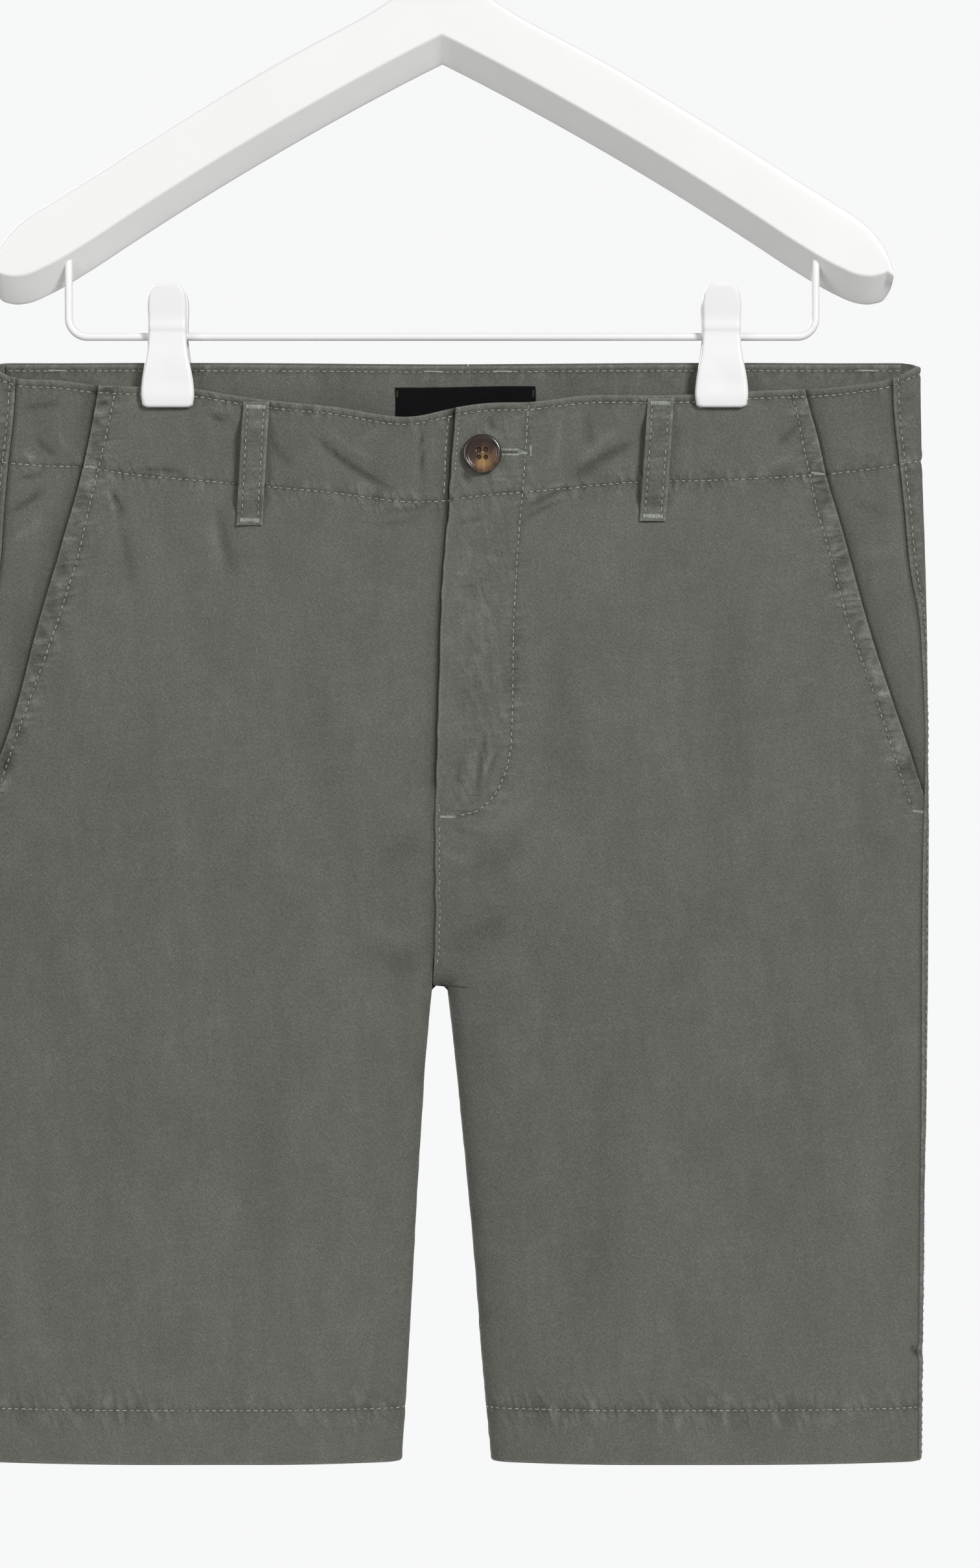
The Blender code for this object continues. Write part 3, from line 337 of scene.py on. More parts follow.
def rounded(distance, reach):
    """How far a round edge falls away: 1 on the edge itself and 0 from its reach on."""
    near = np.clip(1.0 - distance / reach, 0.0, 1.0)
    return 1.0 - np.sqrt(1.0 - near**2)


def run_lengths(path):
    """How far along a path each of its points lies."""
    return np.concatenate([[0.0], np.cumsum(np.linalg.norm(np.diff(path, axis=0), axis=1))])


def curve(rows, key, column, at):
    """A table's column at the given places, on a smooth curve through its rows."""
    rows = sorted(rows, key=lambda row: getattr(row, key))
    x = np.array([getattr(row, key) for row in rows])
    y = np.array([getattr(row, column) for row in rows])
    step = np.diff(x)
    slope = np.diff(y) / step
    inner = (slope[1:] * step[:-1] + slope[:-1] * step[1:]) / (step[1:] + step[:-1])
    tangent = np.concatenate([slope[:1], inner, slope[-1:]])
    at = np.asarray(at, float)
    k = np.clip(np.searchsorted(x, at) - 1, 0, len(x) - 2)
    t = np.clip((at - x[k]) / step[k], 0.0, 1.0)
    rise = step[k] * (tangent[k] * t * (1 - t) ** 2 - tangent[k + 1] * t * t * (1 - t))
    return y[k] + (y[k + 1] - y[k]) * smooth_step(t) + rise


def soft_noise(u, v, seed):
    """Smooth noise from -1 to 1, with about one bump for each unit of u and of v."""
    i = np.floor(u)
    j = np.floor(v)
    fu = smooth_step(u - i)
    fv = smooth_step(v - j)

    def corner(a, b):
        h = np.sin(a * 127.1 + b * 311.7 + seed * 74.7) * 43758.5453
        return 2.0 * (h - np.floor(h)) - 1.0

    low = corner(i, j) * (1 - fu) + corner(i + 1, j) * fu
    high = corner(i, j + 1) * (1 - fu) + corner(i + 1, j + 1) * fu
    return low * (1 - fv) + high * fv


def ridges(u, v, seed):
    """Uneven ridges, sharp along their tops and round in between, from -1 to 1."""
    broad = 1.0 - 2.6 * np.abs(soft_noise(u, v, seed))
    fine = 1.0 - 2.6 * np.abs(soft_noise(1.9 * u, 1.6 * v, seed + 0.4))
    return np.clip(0.7 * broad + 0.4 * fine, -1.0, 1.0)


def line_field(spots, x, z):
    """Distance from a line through the spots, and how far along it the nearest point lies."""
    best = np.full(np.shape(x), 1e9)
    along = np.zeros(np.shape(x))
    run = 0.0
    for first, second in zip(spots, spots[1:]):
        dx = second[0] - first[0]
        dz = second[1] - first[1]
        length = math.hypot(dx, dz)
        t = np.clip(((x - first[0]) * dx + (z - first[1]) * dz) / length**2, 0.0, 1.0)
        away = np.hypot(x - first[0] - t * dx, z - first[1] - t * dz)
        nearer = away < best
        along = np.where(nearer, run + t * length, along)
        best = np.where(nearer, away, best)
        run += length
    return best, along


def side_word(side):
    return "right" if side > 0 else "left"


def outline(side, z):
    return curve(OUTLINE, "z", side_word(side), z)


def gap_edge(side, z):
    return curve(GAP, "z", side_word(side), np.minimum(z, CROTCH))


def middle_seam(face, z):
    return curve(MIDDLE, "z", "front" if face == FRONT else "back", np.maximum(z, CROTCH))


def top_edge(face, x, inset):
    behind = BACK_TOP - 2.0 * np.exp(-inset / 3.0)
    return np.where(face == FRONT, curve(FRONT_EDGE, "x", "z", x), behind)


def band_edge(face, x, inset):
    behind = BACK_TOP - BAND_DEPTH - 1.7 * np.exp(-inset / 6.0)
    return np.where(face == FRONT, curve(BAND_LINE, "x", "z", x), behind)


# ---------------------------------------------------------------- the hollow form
def waist_depth(x):
    """Half depth of the waist: pinched flat at the clips, open between and beside them."""
    middle = 0.5 * (CLIP_LEFT + CLIP_RIGHT)
    half = 0.5 * (CLIP_RIGHT - CLIP_LEFT) - CLIP_FLAT
    between = np.cos(np.clip((x - middle) / half, -1.0, 1.0) * 0.5 * math.pi) ** 2
    outside = smooth_step((np.abs(x - middle) - half - 2.0 * CLIP_FLAT) / 45.0)
    return CLIP_HOLD + (WAIST_OPEN - CLIP_HOLD) * between + (WAIST_SIDE - CLIP_HOLD) * outside


def folds_at(face, x, z):
    total = np.zeros(np.shape(x))
    for fold in FOLDS:
        along = np.array([fold.x1 - fold.x0, fold.z1 - fold.z0])
        length = math.hypot(*along)
        along = along / length
        run = (x - fold.x0) * along[0] + (z - fold.z0) * along[1]
        off = (x - fold.x0) * along[1] - (z - fold.z0) * along[0]
        ends = smooth_step(run / (0.3 * length)) * smooth_step((length - run) / (0.3 * length))
        total = total + np.where(face == fold.face, fold.height, 0.0) * ends * bell(off, fold.width)
    return total


def edge_length(z):
    return 0.25 * math.pi * (EDGE_ROUND + curve(DEPTH, "z", "edge", z))


def edge_turn(inset):
    """Angle round the form's rounded edge at an inset from it, up to a quarter turn."""
    return np.arccos(1.0 - np.clip(inset / EDGE_ROUND, 0.0, 1.0))


def girth_of(inset, z):
    return edge_length(z) * edge_turn(inset) / QUARTER_TURN + np.maximum(inset - EDGE_ROUND, 0.0)


def inset_of(girth, z):
    length = edge_length(z)
    turn = np.clip(girth / length, 0.0, 1.0) * QUARTER_TURN
    return EDGE_ROUND * (1.0 - np.cos(turn)) + np.maximum(girth - length, 0.0)


def filled_out(share):
    return 1.0 - (1.0 - np.clip(share, 0.0, 1.0)) ** 2


def form_point(side, face, x, z):
    """Points on the form's outer skin and their normals, for one leg's side of the form."""
    outer_inset = np.maximum(side * (outline(side, z) - x), 0.0)
    reach_x = x - np.clip(x, gap_edge(-1, z), gap_edge(1, z))
    reach_z = np.maximum(z - CROTCH, 0.0)
    reach = np.hypot(reach_x, reach_z)
    outer_turn = edge_turn(outer_inset)
    inner_turn = edge_turn(reach)
    near_waist = smooth_step((z - WAIST_BLEND) / WAIST_BLEND_RISE)
    edge = curve(DEPTH, "z", "edge", z)
    middle = curve(DEPTH, "z", "middle", z) * (1 - near_waist) + waist_depth(x) * near_waist
    swell = filled_out(outer_inset / OUTER_SWELL) * filled_out(reach / INNER_SWELL)
    flat = np.sin(outer_turn) * np.sin(inner_turn)
    depth = edge * flat + (middle - edge) * swell + folds_at(face, x, z) * swell
    depth = np.maximum(depth, 0.0)
    safe = np.maximum(reach, 1e-6)
    normal = np.stack(
        [
            side * np.cos(outer_turn) - reach_x / safe * np.cos(inner_turn),
            face * np.maximum(flat, 1e-3),
            -reach_z / safe * np.cos(inner_turn),
        ],
        axis=-1,
    )
    at_gap = reach < 1e-6
    under = z > CROTCH - 0.3
    normal[..., 0] = np.where(at_gap & ~under, -side, normal[..., 0])
    normal[..., 2] = np.where(at_gap & under, -1.0, normal[..., 2])
    normal = normal / np.linalg.norm(normal, axis=-1, keepdims=True)
    point = np.stack([x, face * (depth + 0.5 * SEAM_GAP), z], axis=-1)
    return point, normal


def turned(z):
    return smooth_step((CROTCH + 20.0 - z) / 20.0)


def lap(z):
    fly = smooth_step((z - FLY_END) / 12.0)
    end = smooth_step((z - CROTCH - 13.0) / 9.0)
    return (CROTCH_LAP + (FLY_LAP - CROTCH_LAP) * fly) * end


def lap_hold(z):
    return smooth_step((z - CROTCH - 2.0) / 10.0)


def cloth_above(nominal):
    """Thickness of the cloth that a lapped piece lies under, more in the waist's band."""
    in_band = np.clip((nominal - SHIFT_END) / 18.0, 0.0, 1.0)
    return CLOTH + (BAND_CLOTH - CLOTH) * in_band


def wall(side, grid):
    """Thickness of a panel's wall, more in the waist's band and in the hem."""
    top = top_edge(grid.face, grid.x, side * (outline(side, grid.z) - grid.x))
    band = np.where(grid.face == FRONT, smooth_step((grid.z - top + BAND_DEPTH) / 4.0), 0.0)
    hem = smooth_step((HEM + HEM_DEPTH - grid.z) / 3.0)
    return CLOTH + (BAND_CLOTH - CLOTH) * np.maximum(band, hem)


# ---------------------------------------------------------------- fine grids
def spaced(start, stop, step, spots=()):
    """Places from start to stop, about a step apart and closer round the spots."""
    way = 1.0 if stop > start else -1.0
    places = [0.0]
    total = abs(stop - start)
    while places[-1] < total:
        here = start + way * places[-1]
        near = max([bell(here - spot, SPOT_REACH) for spot in spots], default=0.0)
        places.append(places[-1] + step * (1.0 - SPOT_CLOSER * near))
    places = np.array(places) * total / places[-1]
    return start + way * places


def rows_of(top, body_step, leg_step):
    """Nominal heights of the rows, from a waist edge to the hem."""
    band = top - BAND_DEPTH
    waist = spaced(top, SHIFT_END, body_step, (top, top - TOPSTITCH, band))
    body = spaced(SHIFT_END, CROTCH + 14.0, 0.5 * (body_step + leg_step))[1:]
    turn = CROTCH + np.array([12.0, 10.0, 8.0, 6.2, 4.6, 3.2, 2.1, 1.2, 0.5, 0.05, -0.6, -2.0])
    hem_spots = (HEM + HEM_STITCH, HEM)
    leg = spaced(CROTCH - 3.6, HEM, leg_step, hem_spots)
    return np.concatenate([waist, body, turn, leg])


def row_height(face, x, inset, nominal, top):
    """Height of a row: rows run along the waist edge and the lower stitch line."""
    edge = top_edge(face, x, inset)
    band = band_edge(face, x, inset)
    in_band = np.clip((top - nominal) / BAND_DEPTH, 0.0, 1.0)
    below = np.clip((nominal - SHIFT_END) / (top - BAND_DEPTH - SHIFT_END), 0.0, 1.0)
    upper = edge + (band - edge) * in_band
    lower = SHIFT_END + (band - SHIFT_END) * below
    return np.where(nominal > top - BAND_DEPTH, upper, np.where(nominal > SHIFT_END, lower, nominal))


def seam_height(side, nominal, top):
    """Height of a row where it meets the side seam."""
    x = outline(side, nominal) - side * SEAM_REACH
    return float(row_height(FRONT, x, SEAM_REACH, nominal, top))


def seam_start(side, nominal, top):
    """Girth of the side seam from the silhouette."""
    seen = seam_height(side, nominal, top)
    return float(girth_of(curve(SIDE_SEAM, "z", "inset", seen), nominal))


def pocket_start(side, nominal, top):
    """Girth of the pocket's folded edge from the silhouette."""
    seen = seam_height(side, nominal, top)
    fold = curve(POCKET_EDGE, "z", side_word(side), seen)
    return float(girth_of(np.maximum(side * (outline(side, seen) - fold), 0.0), nominal))


def inner_end(side, face, z):
    if z < CROTCH:
        return float(gap_edge(side, z))
    seam = float(middle_seam(face, z))
    if face == BACK:
        return seam + side * 0.5 * SEAM_GAP
    if side > 0:
        waver = soft_noise(np.array(z / 6.5), np.array(0.0), 17.0) * 0.35
        return seam + float(waver * smooth_step((z - CROTCH) / 20.0))
    return seam + float(lap(z)) - SEAM_GAP * (1.0 - float(smooth_step(lap(z) / 2.0)))


Grid = namedtuple("Grid", "x z face from_outer from_inner from_top nominal")


def grid_row(face, x, inset, nominal, top, from_outer, from_inner):
    """One row of a Grid, at the heights that the waist's slope gives it."""
    height = row_height(face, x, inset, nominal, top)
    from_top = np.maximum(top_edge(face, x, inset) - height, 0.0)
    return Grid(x, height, face, from_outer, from_inner, from_top, np.full(len(x), nominal))


def stacked(rows):
    return Grid(*(np.array(values) for values in zip(*rows)))


def wall_grid(side, face, rows, top, start_of, outer_steps, inner_steps, middle_columns):
    """Places of a wall's points: rows from the waist down, columns from the outer seam in."""
    grid = []
    outer_reach = outer_steps[-1]
    inner_reach = inner_steps[-1]
    shares = np.arange(1, middle_columns) / middle_columns
    for nominal in rows:
        z = float(nominal)
        leg = float(turned(z))
        excess = float(edge_length(z)) - EDGE_ROUND
        edge = float(outline(side, seam_height(side, z, top)))
        inner = inner_end(side, face, z)
        start = start_of(z)
        total = side * (edge - inner) + excess * (1.0 + leg) - start - 0.5 * SEAM_GAP * leg
        room = total - outer_reach - inner_reach
        distance = np.concatenate(
            [outer_steps, outer_reach + room * shares, total - inner_steps[::-1]]
        )
        girth = start + distance
        from_silhouette = edge - side * inset_of(np.abs(girth), z)
        left = total - distance + 0.5 * SEAM_GAP * leg
        straight = inner + side * left
        round_in = inner + side * inset_of(left, z)
        from_middle = straight + (round_in - straight) * leg
        outer_half = distance < 0.5 * total
        x = np.where(outer_half, from_silhouette, from_middle)
        here = np.where(outer_half & (girth < 0), -face, face)
        grid.append(grid_row(here, x, side * (edge - x), z, top, distance, total - distance))
    return stacked(grid)


# ---------------------------------------------------------------- relief of the cloth
def worn_and_shaded(wear_and_shade, upright, level):
    """What the cloth's material reads at each point: wear with painted shade and highlight, and gathers
    at seams.
    """
    return np.stack(np.broadcast_arrays(wear_and_shade, upright, level), axis=-1)


class Relief:
    """Height of the small forms over a grid, how worn and how gathered the cloth is, and the shade and
    highlights painted into its colour.
    """

    def __init__(self, grid, seed):
        self.grid = grid
        self.seed = seed
        self.height = np.zeros(grid.x.shape)
        self.wear_and_shade = np.zeros(grid.x.shape)
        self.upright = np.full(grid.x.shape, 0.10)
        self.level = np.full(grid.x.shape, 0.10)

    def edge(self, distance, share=1.0, puff=0.12):
        """A folded edge: rounded over, slightly full, and rubbed pale."""
        shape = puff * bell(distance - 1.9, 1.2) - EDGE_ROLL * rounded(distance, EDGE_ROLL)
        self.height += share * shape
        self.wear_and_shade += 0.75 * share * bell(distance, 1.0)

    def stitch(self, distance, along, pucker, reach, pitch=4.7, groove=0.26, level=False):
        """A stitch line pulls a groove, uneven ripples and small gathers across it, with painted shade in
        the groove and in the ripples' troughs.
        """
        self.seed += 1
        slant = 0.35 * distance
        ripple = ridges((along + slant) / pitch, distance / 11.0, self.seed)
        amount = 0.55 + 0.45 * soft_noise(along / 31.0, 0.0 * along, self.seed + 0.6)
        self.height += 1.4 * pucker * amount * ripple * bell(distance, reach)
        self.height -= groove * bell(distance, 0.8)
        # painted shade in the groove and in the ripples' troughs; the ripples' ridges paler, rubbed wear
        # with painted highlight
        self.wear_and_shade += 0.42 * amount * ripple * bell(distance, reach) - 0.5 * bell(distance, 0.9)
        gathers = self.level if level else self.upright
        np.maximum(gathers, (0.3 + 0.7 * amount) * bell(distance, 1.2 * reach), out=gathers)

    def creases(self):
        """The creases of the table: steeper on one side, wider toward their far end, with painted shade
        in their troughs and paler ridges.
        """
        grid = self.grid
        for crease in CREASES:
            dx = crease.x1 - crease.x0
            dz = crease.z1 - crease.z0
            length = math.hypot(dx, dz)
            run = ((grid.x - crease.x0) * dx + (grid.z - crease.z0) * dz) / length**2
            off = ((grid.x - crease.x0) * dz - (grid.z - crease.z0) * dx) / length
            off = off - crease.bend * 4.0 * run * (1.0 - run)
            ends = smooth_step(run / 0.35) * smooth_step((1.0 - run) / 0.35)
            shown = np.where(grid.face == crease.face, ends, 0.0)
            width = crease.width * (0.7 + 0.6 * np.clip(run, 0.0, 1.0))
            steep = np.where(off > 0, 0.6, 1.3)
            shape = shown * np.exp(-(np.sqrt(off**2 + 0.25) - 0.5) / (width * steep))
            self.height += CREASE_DEPTH * crease.height * shape
            # painted shade in the troughs; paler ridges, rubbed wear with painted highlight
            self.wear_and_shade += CREASE_SHADE * crease.height * shown * bell(off, 1.1 * width)
            np.maximum(self.level, 0.7 * abs(crease.height) * shape, out=self.level)

    def surface(self, amount=1.0):
        """Slight unevenness of washed cloth, longer down the leg than across."""
        grid = self.grid
        u = grid.x + 900.0 * (grid.face + 1)
        z = grid.z
        long_way = soft_noise(u / 34.0, z / 95.0, 3.1) * 0.42
        middle_way = soft_noise(u / 15.0 + 0.2 * z / 15.0, z / 34.0, 5.7) * 0.17
        small_way = soft_noise(u / 6.5, z / 9.5, 8.3) * 0.055
        self.height += amount * (long_way + middle_way + small_way)
        # tone follows the smaller unevenness: painted shade in its hollows, paler rises of rubbed wear
        # with painted highlight
        self.wear_and_shade += amount * (middle_way + small_way)

    def worn_and_shaded(self):
        return worn_and_shaded(self.wear_and_shade, self.upright, self.level)


def lifted(side, grid, relief, lift, thick):
    """Outer and inner skins of a wall.

    The inner skin follows the troughs, so that it never shows through them.
    """
    point, normal = form_point(side, grid.face, grid.x, grid.z)
    outer = point + normal * (relief.height + lift)[..., None]
    inner = point + normal * (np.minimum(relief.height, 0.0) + lift - thick)[..., None]
    return outer, inner


# ---------------------------------------------------------------- meshes
def link(name, data):
    made = bpy.data.objects.new(name, data)
    bpy.context.scene.collection.objects.link(made)
    return made


def mesh_object(name, points, faces, surface, sharp=40.0):
    mesh = bpy.data.meshes.new(name)
    mesh.from_pydata((np.asarray(points) * MM).tolist(), [], faces)
    mesh.materials.append(surface)
    mesh.shade_smooth()
    mesh.set_sharp_from_angle(angle=math.radians(sharp))
    return link(name, mesh)


def set_cloth(mesh, places, marks_on):
    """Keeps where each point lies on the flat cloth, in metres, its wear with painted shade and
    highlight, and its gathers.
    """
    for name, values in (("cloth", np.asarray(places, float) * MM), ("marks", marks_on)):
        kept = mesh.attributes.new(name, "FLOAT_VECTOR", "POINT")
        kept.data.foreach_set("vector", np.ascontiguousarray(values).ravel())


def marks(count):
    """Every third index and the last, which the coarser inner skin keeps."""
    return [*range(0, count - 1, INNER_SKIP), count - 1]


def points_in(outer, inner):
    """True if quads read along a row and then down would face into the wall."""
    across = np.cross(outer[:-1, 1:] - outer[:-1, :-1], outer[1:, :-1] - outer[:-1, :-1])
    return (across * (outer - inner)[:-1, :-1]).sum() < 0


def quads(index):
    """The four-sided faces between neighbouring points of a grid of indices."""
    corners = (index[:-1, :-1], index[:-1, 1:], index[1:, 1:], index[1:, :-1])
    return np.stack(corners, -1).reshape(-1, 4).tolist()


def shell(name, outer, inner, cloth, wear_and_shade, surface):
    """A closed wall with a fine outer skin and a coarser inner one."""
    if points_in(outer, inner):
        outer, inner, cloth, wear_and_shade = (grid[:, ::-1] for grid in (outer, inner, cloth, wear_and_shade))
    rows, columns = outer.shape[:2]
    row_marks = marks(rows)
    column_marks = marks(columns)
    kept = np.ix_(row_marks, column_marks)
    inner = inner[kept]
    out = np.arange(rows * columns).reshape(rows, columns)
    back = rows * columns + np.arange(inner[..., 0].size).reshape(inner.shape[:2])
    faces = quads(out) + quads(back.T)
    for k, (a, b) in enumerate(zip(row_marks, row_marks[1:])):
        faces.append([*out[a : b + 1, 0], back[k + 1, 0], back[k, 0]])
        faces.append([*out[a : b + 1, -1][::-1], back[k, -1], back[k + 1, -1]])
    for k, (a, b) in enumerate(zip(column_marks, column_marks[1:])):
        faces.append([*out[0, a : b + 1][::-1], back[0, k], back[0, k + 1]])
        faces.append([*out[-1, a : b + 1], back[-1, k + 1], back[-1, k]])

    def joined(on_outer, on_inner):
        return np.concatenate([on_outer.reshape(-1, 3), on_inner.reshape(-1, 3)])

    made = mesh_object(name, joined(outer, inner), faces, surface)
    set_cloth(made.data, joined(cloth, cloth[kept]), joined(wear_and_shade, np.zeros(inner.shape)))
    return made


def flat(x, z):
    return np.stack([x, z, np.zeros(x.shape)], axis=-1)


def flat_places(grid):
    """Flat cloth coordinates, so that the weave runs along the cloth all round."""
    return flat(np.where(grid.face == FRONT, grid.x, BACK_START - grid.x), grid.z)


def skin_of(outer, inner):
    """A search tree of an outer skin, facing out, which threads are laid on."""
    rows, columns = outer.shape[:2]
    faces = quads(np.arange(rows * columns).reshape(rows, columns))
    if points_in(outer, inner):
        faces = [face[::-1] for face in faces]
    return BVHTree.FromPolygons(outer.reshape(-1, 3).tolist(), faces)


# ---------------------------------------------------------------- threads
class Threads:
    """Many short threads, joined into one mesh."""

    # how far along the thread, then its radius and its rise there, against the full radius
    STATIONS = (
        (0.0, 0.45, -1.0), (0.1, 0.85, -0.1), (0.32, 1.0, 0.55), (0.68, 1.0, 0.55),
        (0.9, 0.85, -0.1), (1.0, 0.45, -1.0),
    )
    SIDES = 5
    HOLE_SIDES = 8

    def __init__(self, skin, seed):
        self.skin = skin
        self.random = np.random.default_rng(seed)
        self.points = []
        self.faces = []
        self.tones = []

    def dropped(self, x, z, face=FRONT):
        """The place on the skin straight behind (x, z), as seen from that face."""
        start = Vector((x, 60.0 * face, z))
        found, _, _, _ = self.skin.ray_cast(start, Vector((0.0, -face, 0.0)))
        return start if found is None else found

    def thread(self, start, end, radius=THREAD_RADIUS):
        """One thread between two places, laid on the skin."""
        places = []
        ways = []
        for place in (start, end):
            found, normal, _, _ = self.skin.find_nearest(Vector(place))
            if found is None:
                return
            places.append(np.array(found))
            ways.append(np.array(normal))
        normal = ways[0] + ways[1]
        normal = normal / max(np.linalg.norm(normal), 1e-9)
        along = places[1] - places[0]
        length = np.linalg.norm(along)
        if length < 0.2:
            return
        sideways = np.cross(normal, along / length)
        first = len(self.points)
        tone = self.random.uniform(-1.0, 1.0)
        for share, width, rise in self.STATIONS:
            centre = places[0] + along * share + normal * radius * rise
            for k in range(self.SIDES):
                angle = 2.0 * math.pi * (k + 0.5) / self.SIDES
                ring = math.cos(angle) * sideways + math.sin(angle) * normal
                self.points.append(centre + ring * radius * width)
                # both ends, where the thread sinks into the cloth, are darker: painted shade
                self.tones.append(tone - 0.9 * (share < 0.05) - 0.9 * (share > 0.95))
        for station in range(len(self.STATIONS) - 1):
            low = first + station * self.SIDES
            for k in range(self.SIDES):
                after = (k + 1) % self.SIDES
                high = low + self.SIDES
                self.faces.append([low + k, low + after, high + after, high + k])
        self.faces.append([first + k for k in reversed(range(self.SIDES))])
        last = first + (len(self.STATIONS) - 1) * self.SIDES
        self.faces.append([last + k for k in range(self.SIDES)])

    def hole(self, place, along):
        """Painted shade of a needle hole: a dark disc where the thread dips into the cloth."""
        found, normal, _, _ = self.skin.find_nearest(Vector(place))
        if found is None:
            return
        normal = np.array(normal)
        along = along / max(np.linalg.norm(along), 1e-9)
        sideways = np.cross(normal, along)
        first = len(self.points)
        for k in range(self.HOLE_SIDES):
            angle = 2.0 * math.pi * k / self.HOLE_SIDES
            ring = 0.42 * math.cos(angle) * along + 0.24 * math.sin(angle) * sideways
            self.points.append(np.array(found) + ring + 0.05 * normal)
            self.tones.append(HOLE_SHADE_TONE)
        self.faces.append([first + k for k in reversed(range(self.HOLE_SIDES))])

    def line(self, path, pitch=STITCH_PITCH, length=STITCH_LENGTH):
        """A row of stitches along a path of (x, y, z) places."""
        path = np.array(path, float)
        runs = run_lengths(path)

        def at(run):
            return np.array([np.interp(run, runs, path[:, c]) for c in range(3)])

        for k in range(int(runs[-1] / pitch)):
            begin = (k + 0.3) * pitch + self.random.uniform(-0.12, 0.12)
            start = at(begin)
            end = at(begin + length + self.random.uniform(-0.2, 0.2))
            start[2] += self.random.uniform(-0.08, 0.08)
            end[2] += self.random.uniform(-0.08, 0.08)
            self.thread(start, end)
            self.hole(at((k + 0.15) * pitch), end - start)

    def tack(self, start, end, face=FRONT, width=1.7, radius=0.2):
        """A bar tack: threads side by side across a short line of (x, z) places."""
        start = np.array(start, float)
        end = np.array(end, float)
        along = (end - start) / np.linalg.norm(end - start)
        across = np.array((-along[1], along[0]))
        for shift in (-0.2 * width, 0.2 * width):
            first = self.dropped(*(start + across * shift), face)
            self.thread(first, self.dropped(*(end + across * shift), face), 1.3 * radius)
        for k in range(int(np.linalg.norm(end - start) / TACK_PITCH) + 1):
            centre = start + along * k * TACK_PITCH
            half = across * width * 0.5 * self.random.uniform(0.8, 1.15)
            lean = along * self.random.uniform(-0.2, 0.2)
            first = self.dropped(*(centre - half - lean), face)
            self.thread(first, self.dropped(*(centre + half + lean), face), radius)

    def finished(self, name, surface):
        made = mesh_object(name, self.points, self.faces, surface, sharp=80.0)
        tone = made.data.attributes.new("tone", "FLOAT", "POINT")
        tone.data.foreach_set("value", np.array(self.tones))
        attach(made, "root")
        return made


def laid(skin, spots):
    """Places on a front skin, straight behind a line of (x, z) spots."""
    knots = np.array(spots)
    runs = run_lengths(knots)
    at = np.linspace(0.0, runs[-1], max(int(runs[-1] / LAID_STEP), 2))
    places = []
    for x, z in zip(np.interp(at, runs, knots[:, 0]), np.interp(at, runs, knots[:, 1])):
        found, _, _, _ = skin.ray_cast(Vector((x, IN_FRONT, z)), Vector(STRAIGHT_IN))
        if found is not None:
            places.append(np.array(found))
    return places


def along_rows(outer, distance, at):
    """The line on a skin that keeps one distance from an edge, row by row."""
    places = []
    for points, reach in zip(outer, distance):
        order = np.argsort(reach)
        if reach.min() <= at <= reach.max():
            places.append([np.interp(at, reach[order], points[order, c]) for c in range(3)])
    return places


def along_columns(outer, distance, at):
    return along_rows(outer.transpose(1, 0, 2), distance.T, at)


# ---------------------------------------------------------------- materials
def new_node(tree, kind, inputs=(), **settings):
    """A shader node with its settings, values and links in one call."""
    made = tree.nodes.new(kind)
    for name, value in settings.items():
        setattr(made, name, value)
    for name, value in inputs:
        if isinstance(value, bpy.types.NodeSocket):
            tree.links.new(value, made.inputs[name])
        else:
            made.inputs[name].default_value = value
    return made


def maths(tree, operation, first, second=0.0):
    made = new_node(tree, "ShaderNodeMath", ((0, first), (1, second)), operation=operation)
    return made.outputs[0]


def noise(tree, place, scale, detail=2.0, roughness=0.5):
    """Noise about 0, from -0.5 to 0.5."""
    made = new_node(
        tree, "ShaderNodeTexNoise",
        (("Vector", place), ("Scale", scale), ("Detail", detail), ("Roughness", roughness)),
    )
    return maths(tree, "SUBTRACT", made.outputs["Fac"], 0.5)


def summed(tree, parts):
    """The sum of (value, weight) pairs."""
    total = 0.0
    for value, weight in parts:
        total = maths(tree, "ADD", maths(tree, "MULTIPLY", value, weight), total)
    return total


def ramp(tree, value, stops):
    made = new_node(tree, "ShaderNodeValToRGB", (("Fac", value),))
    elements = made.color_ramp.elements
    while len(elements) < len(stops):
        elements.new(0.5)
    for element, (place, colour) in zip(elements, stops):
        element.position = place
        element.color = (*colour, 1.0)
    return made.outputs["Color"]


def bumps(tree, layers):
    """Bump of (height, distance in metres) layers, from fine to broad."""
    normal = None
    for height, distance in layers:
        inputs = [("Height", height), ("Distance", distance), ("Strength", 1.0)]
        if normal is not None:
            inputs.append(("Normal", normal))
        normal = new_node(tree, "ShaderNodeBump", inputs).outputs["Normal"]
    return normal


def waves(tree, place, way, waver=0.0):
    """Parallel ridges along the cloth; way is their direction, in radians a metre."""
    inputs = ((0, place), (1, way))
    dot = new_node(tree, "ShaderNodeVectorMath", inputs, operation="DOT_PRODUCT")
    return maths(tree, "SINE", maths(tree, "ADD", dot.outputs["Value"], waver))


def stretched(tree, place, angle, along, across):
    """The cloth's places turned, then drawn out along and across."""
    inputs = (("Vector", place), ("Rotation", (0.0, 0.0, angle)), ("Scale", (along, across, 1.0)))
    made = new_node(tree, "ShaderNodeMapping", inputs, vector_type="TEXTURE")
    return made.outputs["Vector"]


def gathers(tree, place, amount):
    """Small ridges with sharp valleys between them, where the marks call for them."""
    height = maths(tree, "ABSOLUTE", noise(tree, place, 170.0, 2.0))
    return maths(tree, "MULTIPLY", maths(tree, "SUBTRACT", height, 0.09), amount)


def dress(tree, shader, value, stops, layers):
    """Gives a shader its colours, by value, and its bump."""
    tree.links.new(ramp(tree, value, stops), shader.inputs["Base Color"])
    tree.links.new(bumps(tree, layers), shader.inputs["Normal"])


def kept_on_cloth(tree, name, output):
    return new_node(tree, "ShaderNodeAttribute", attribute_name=name).outputs[output]


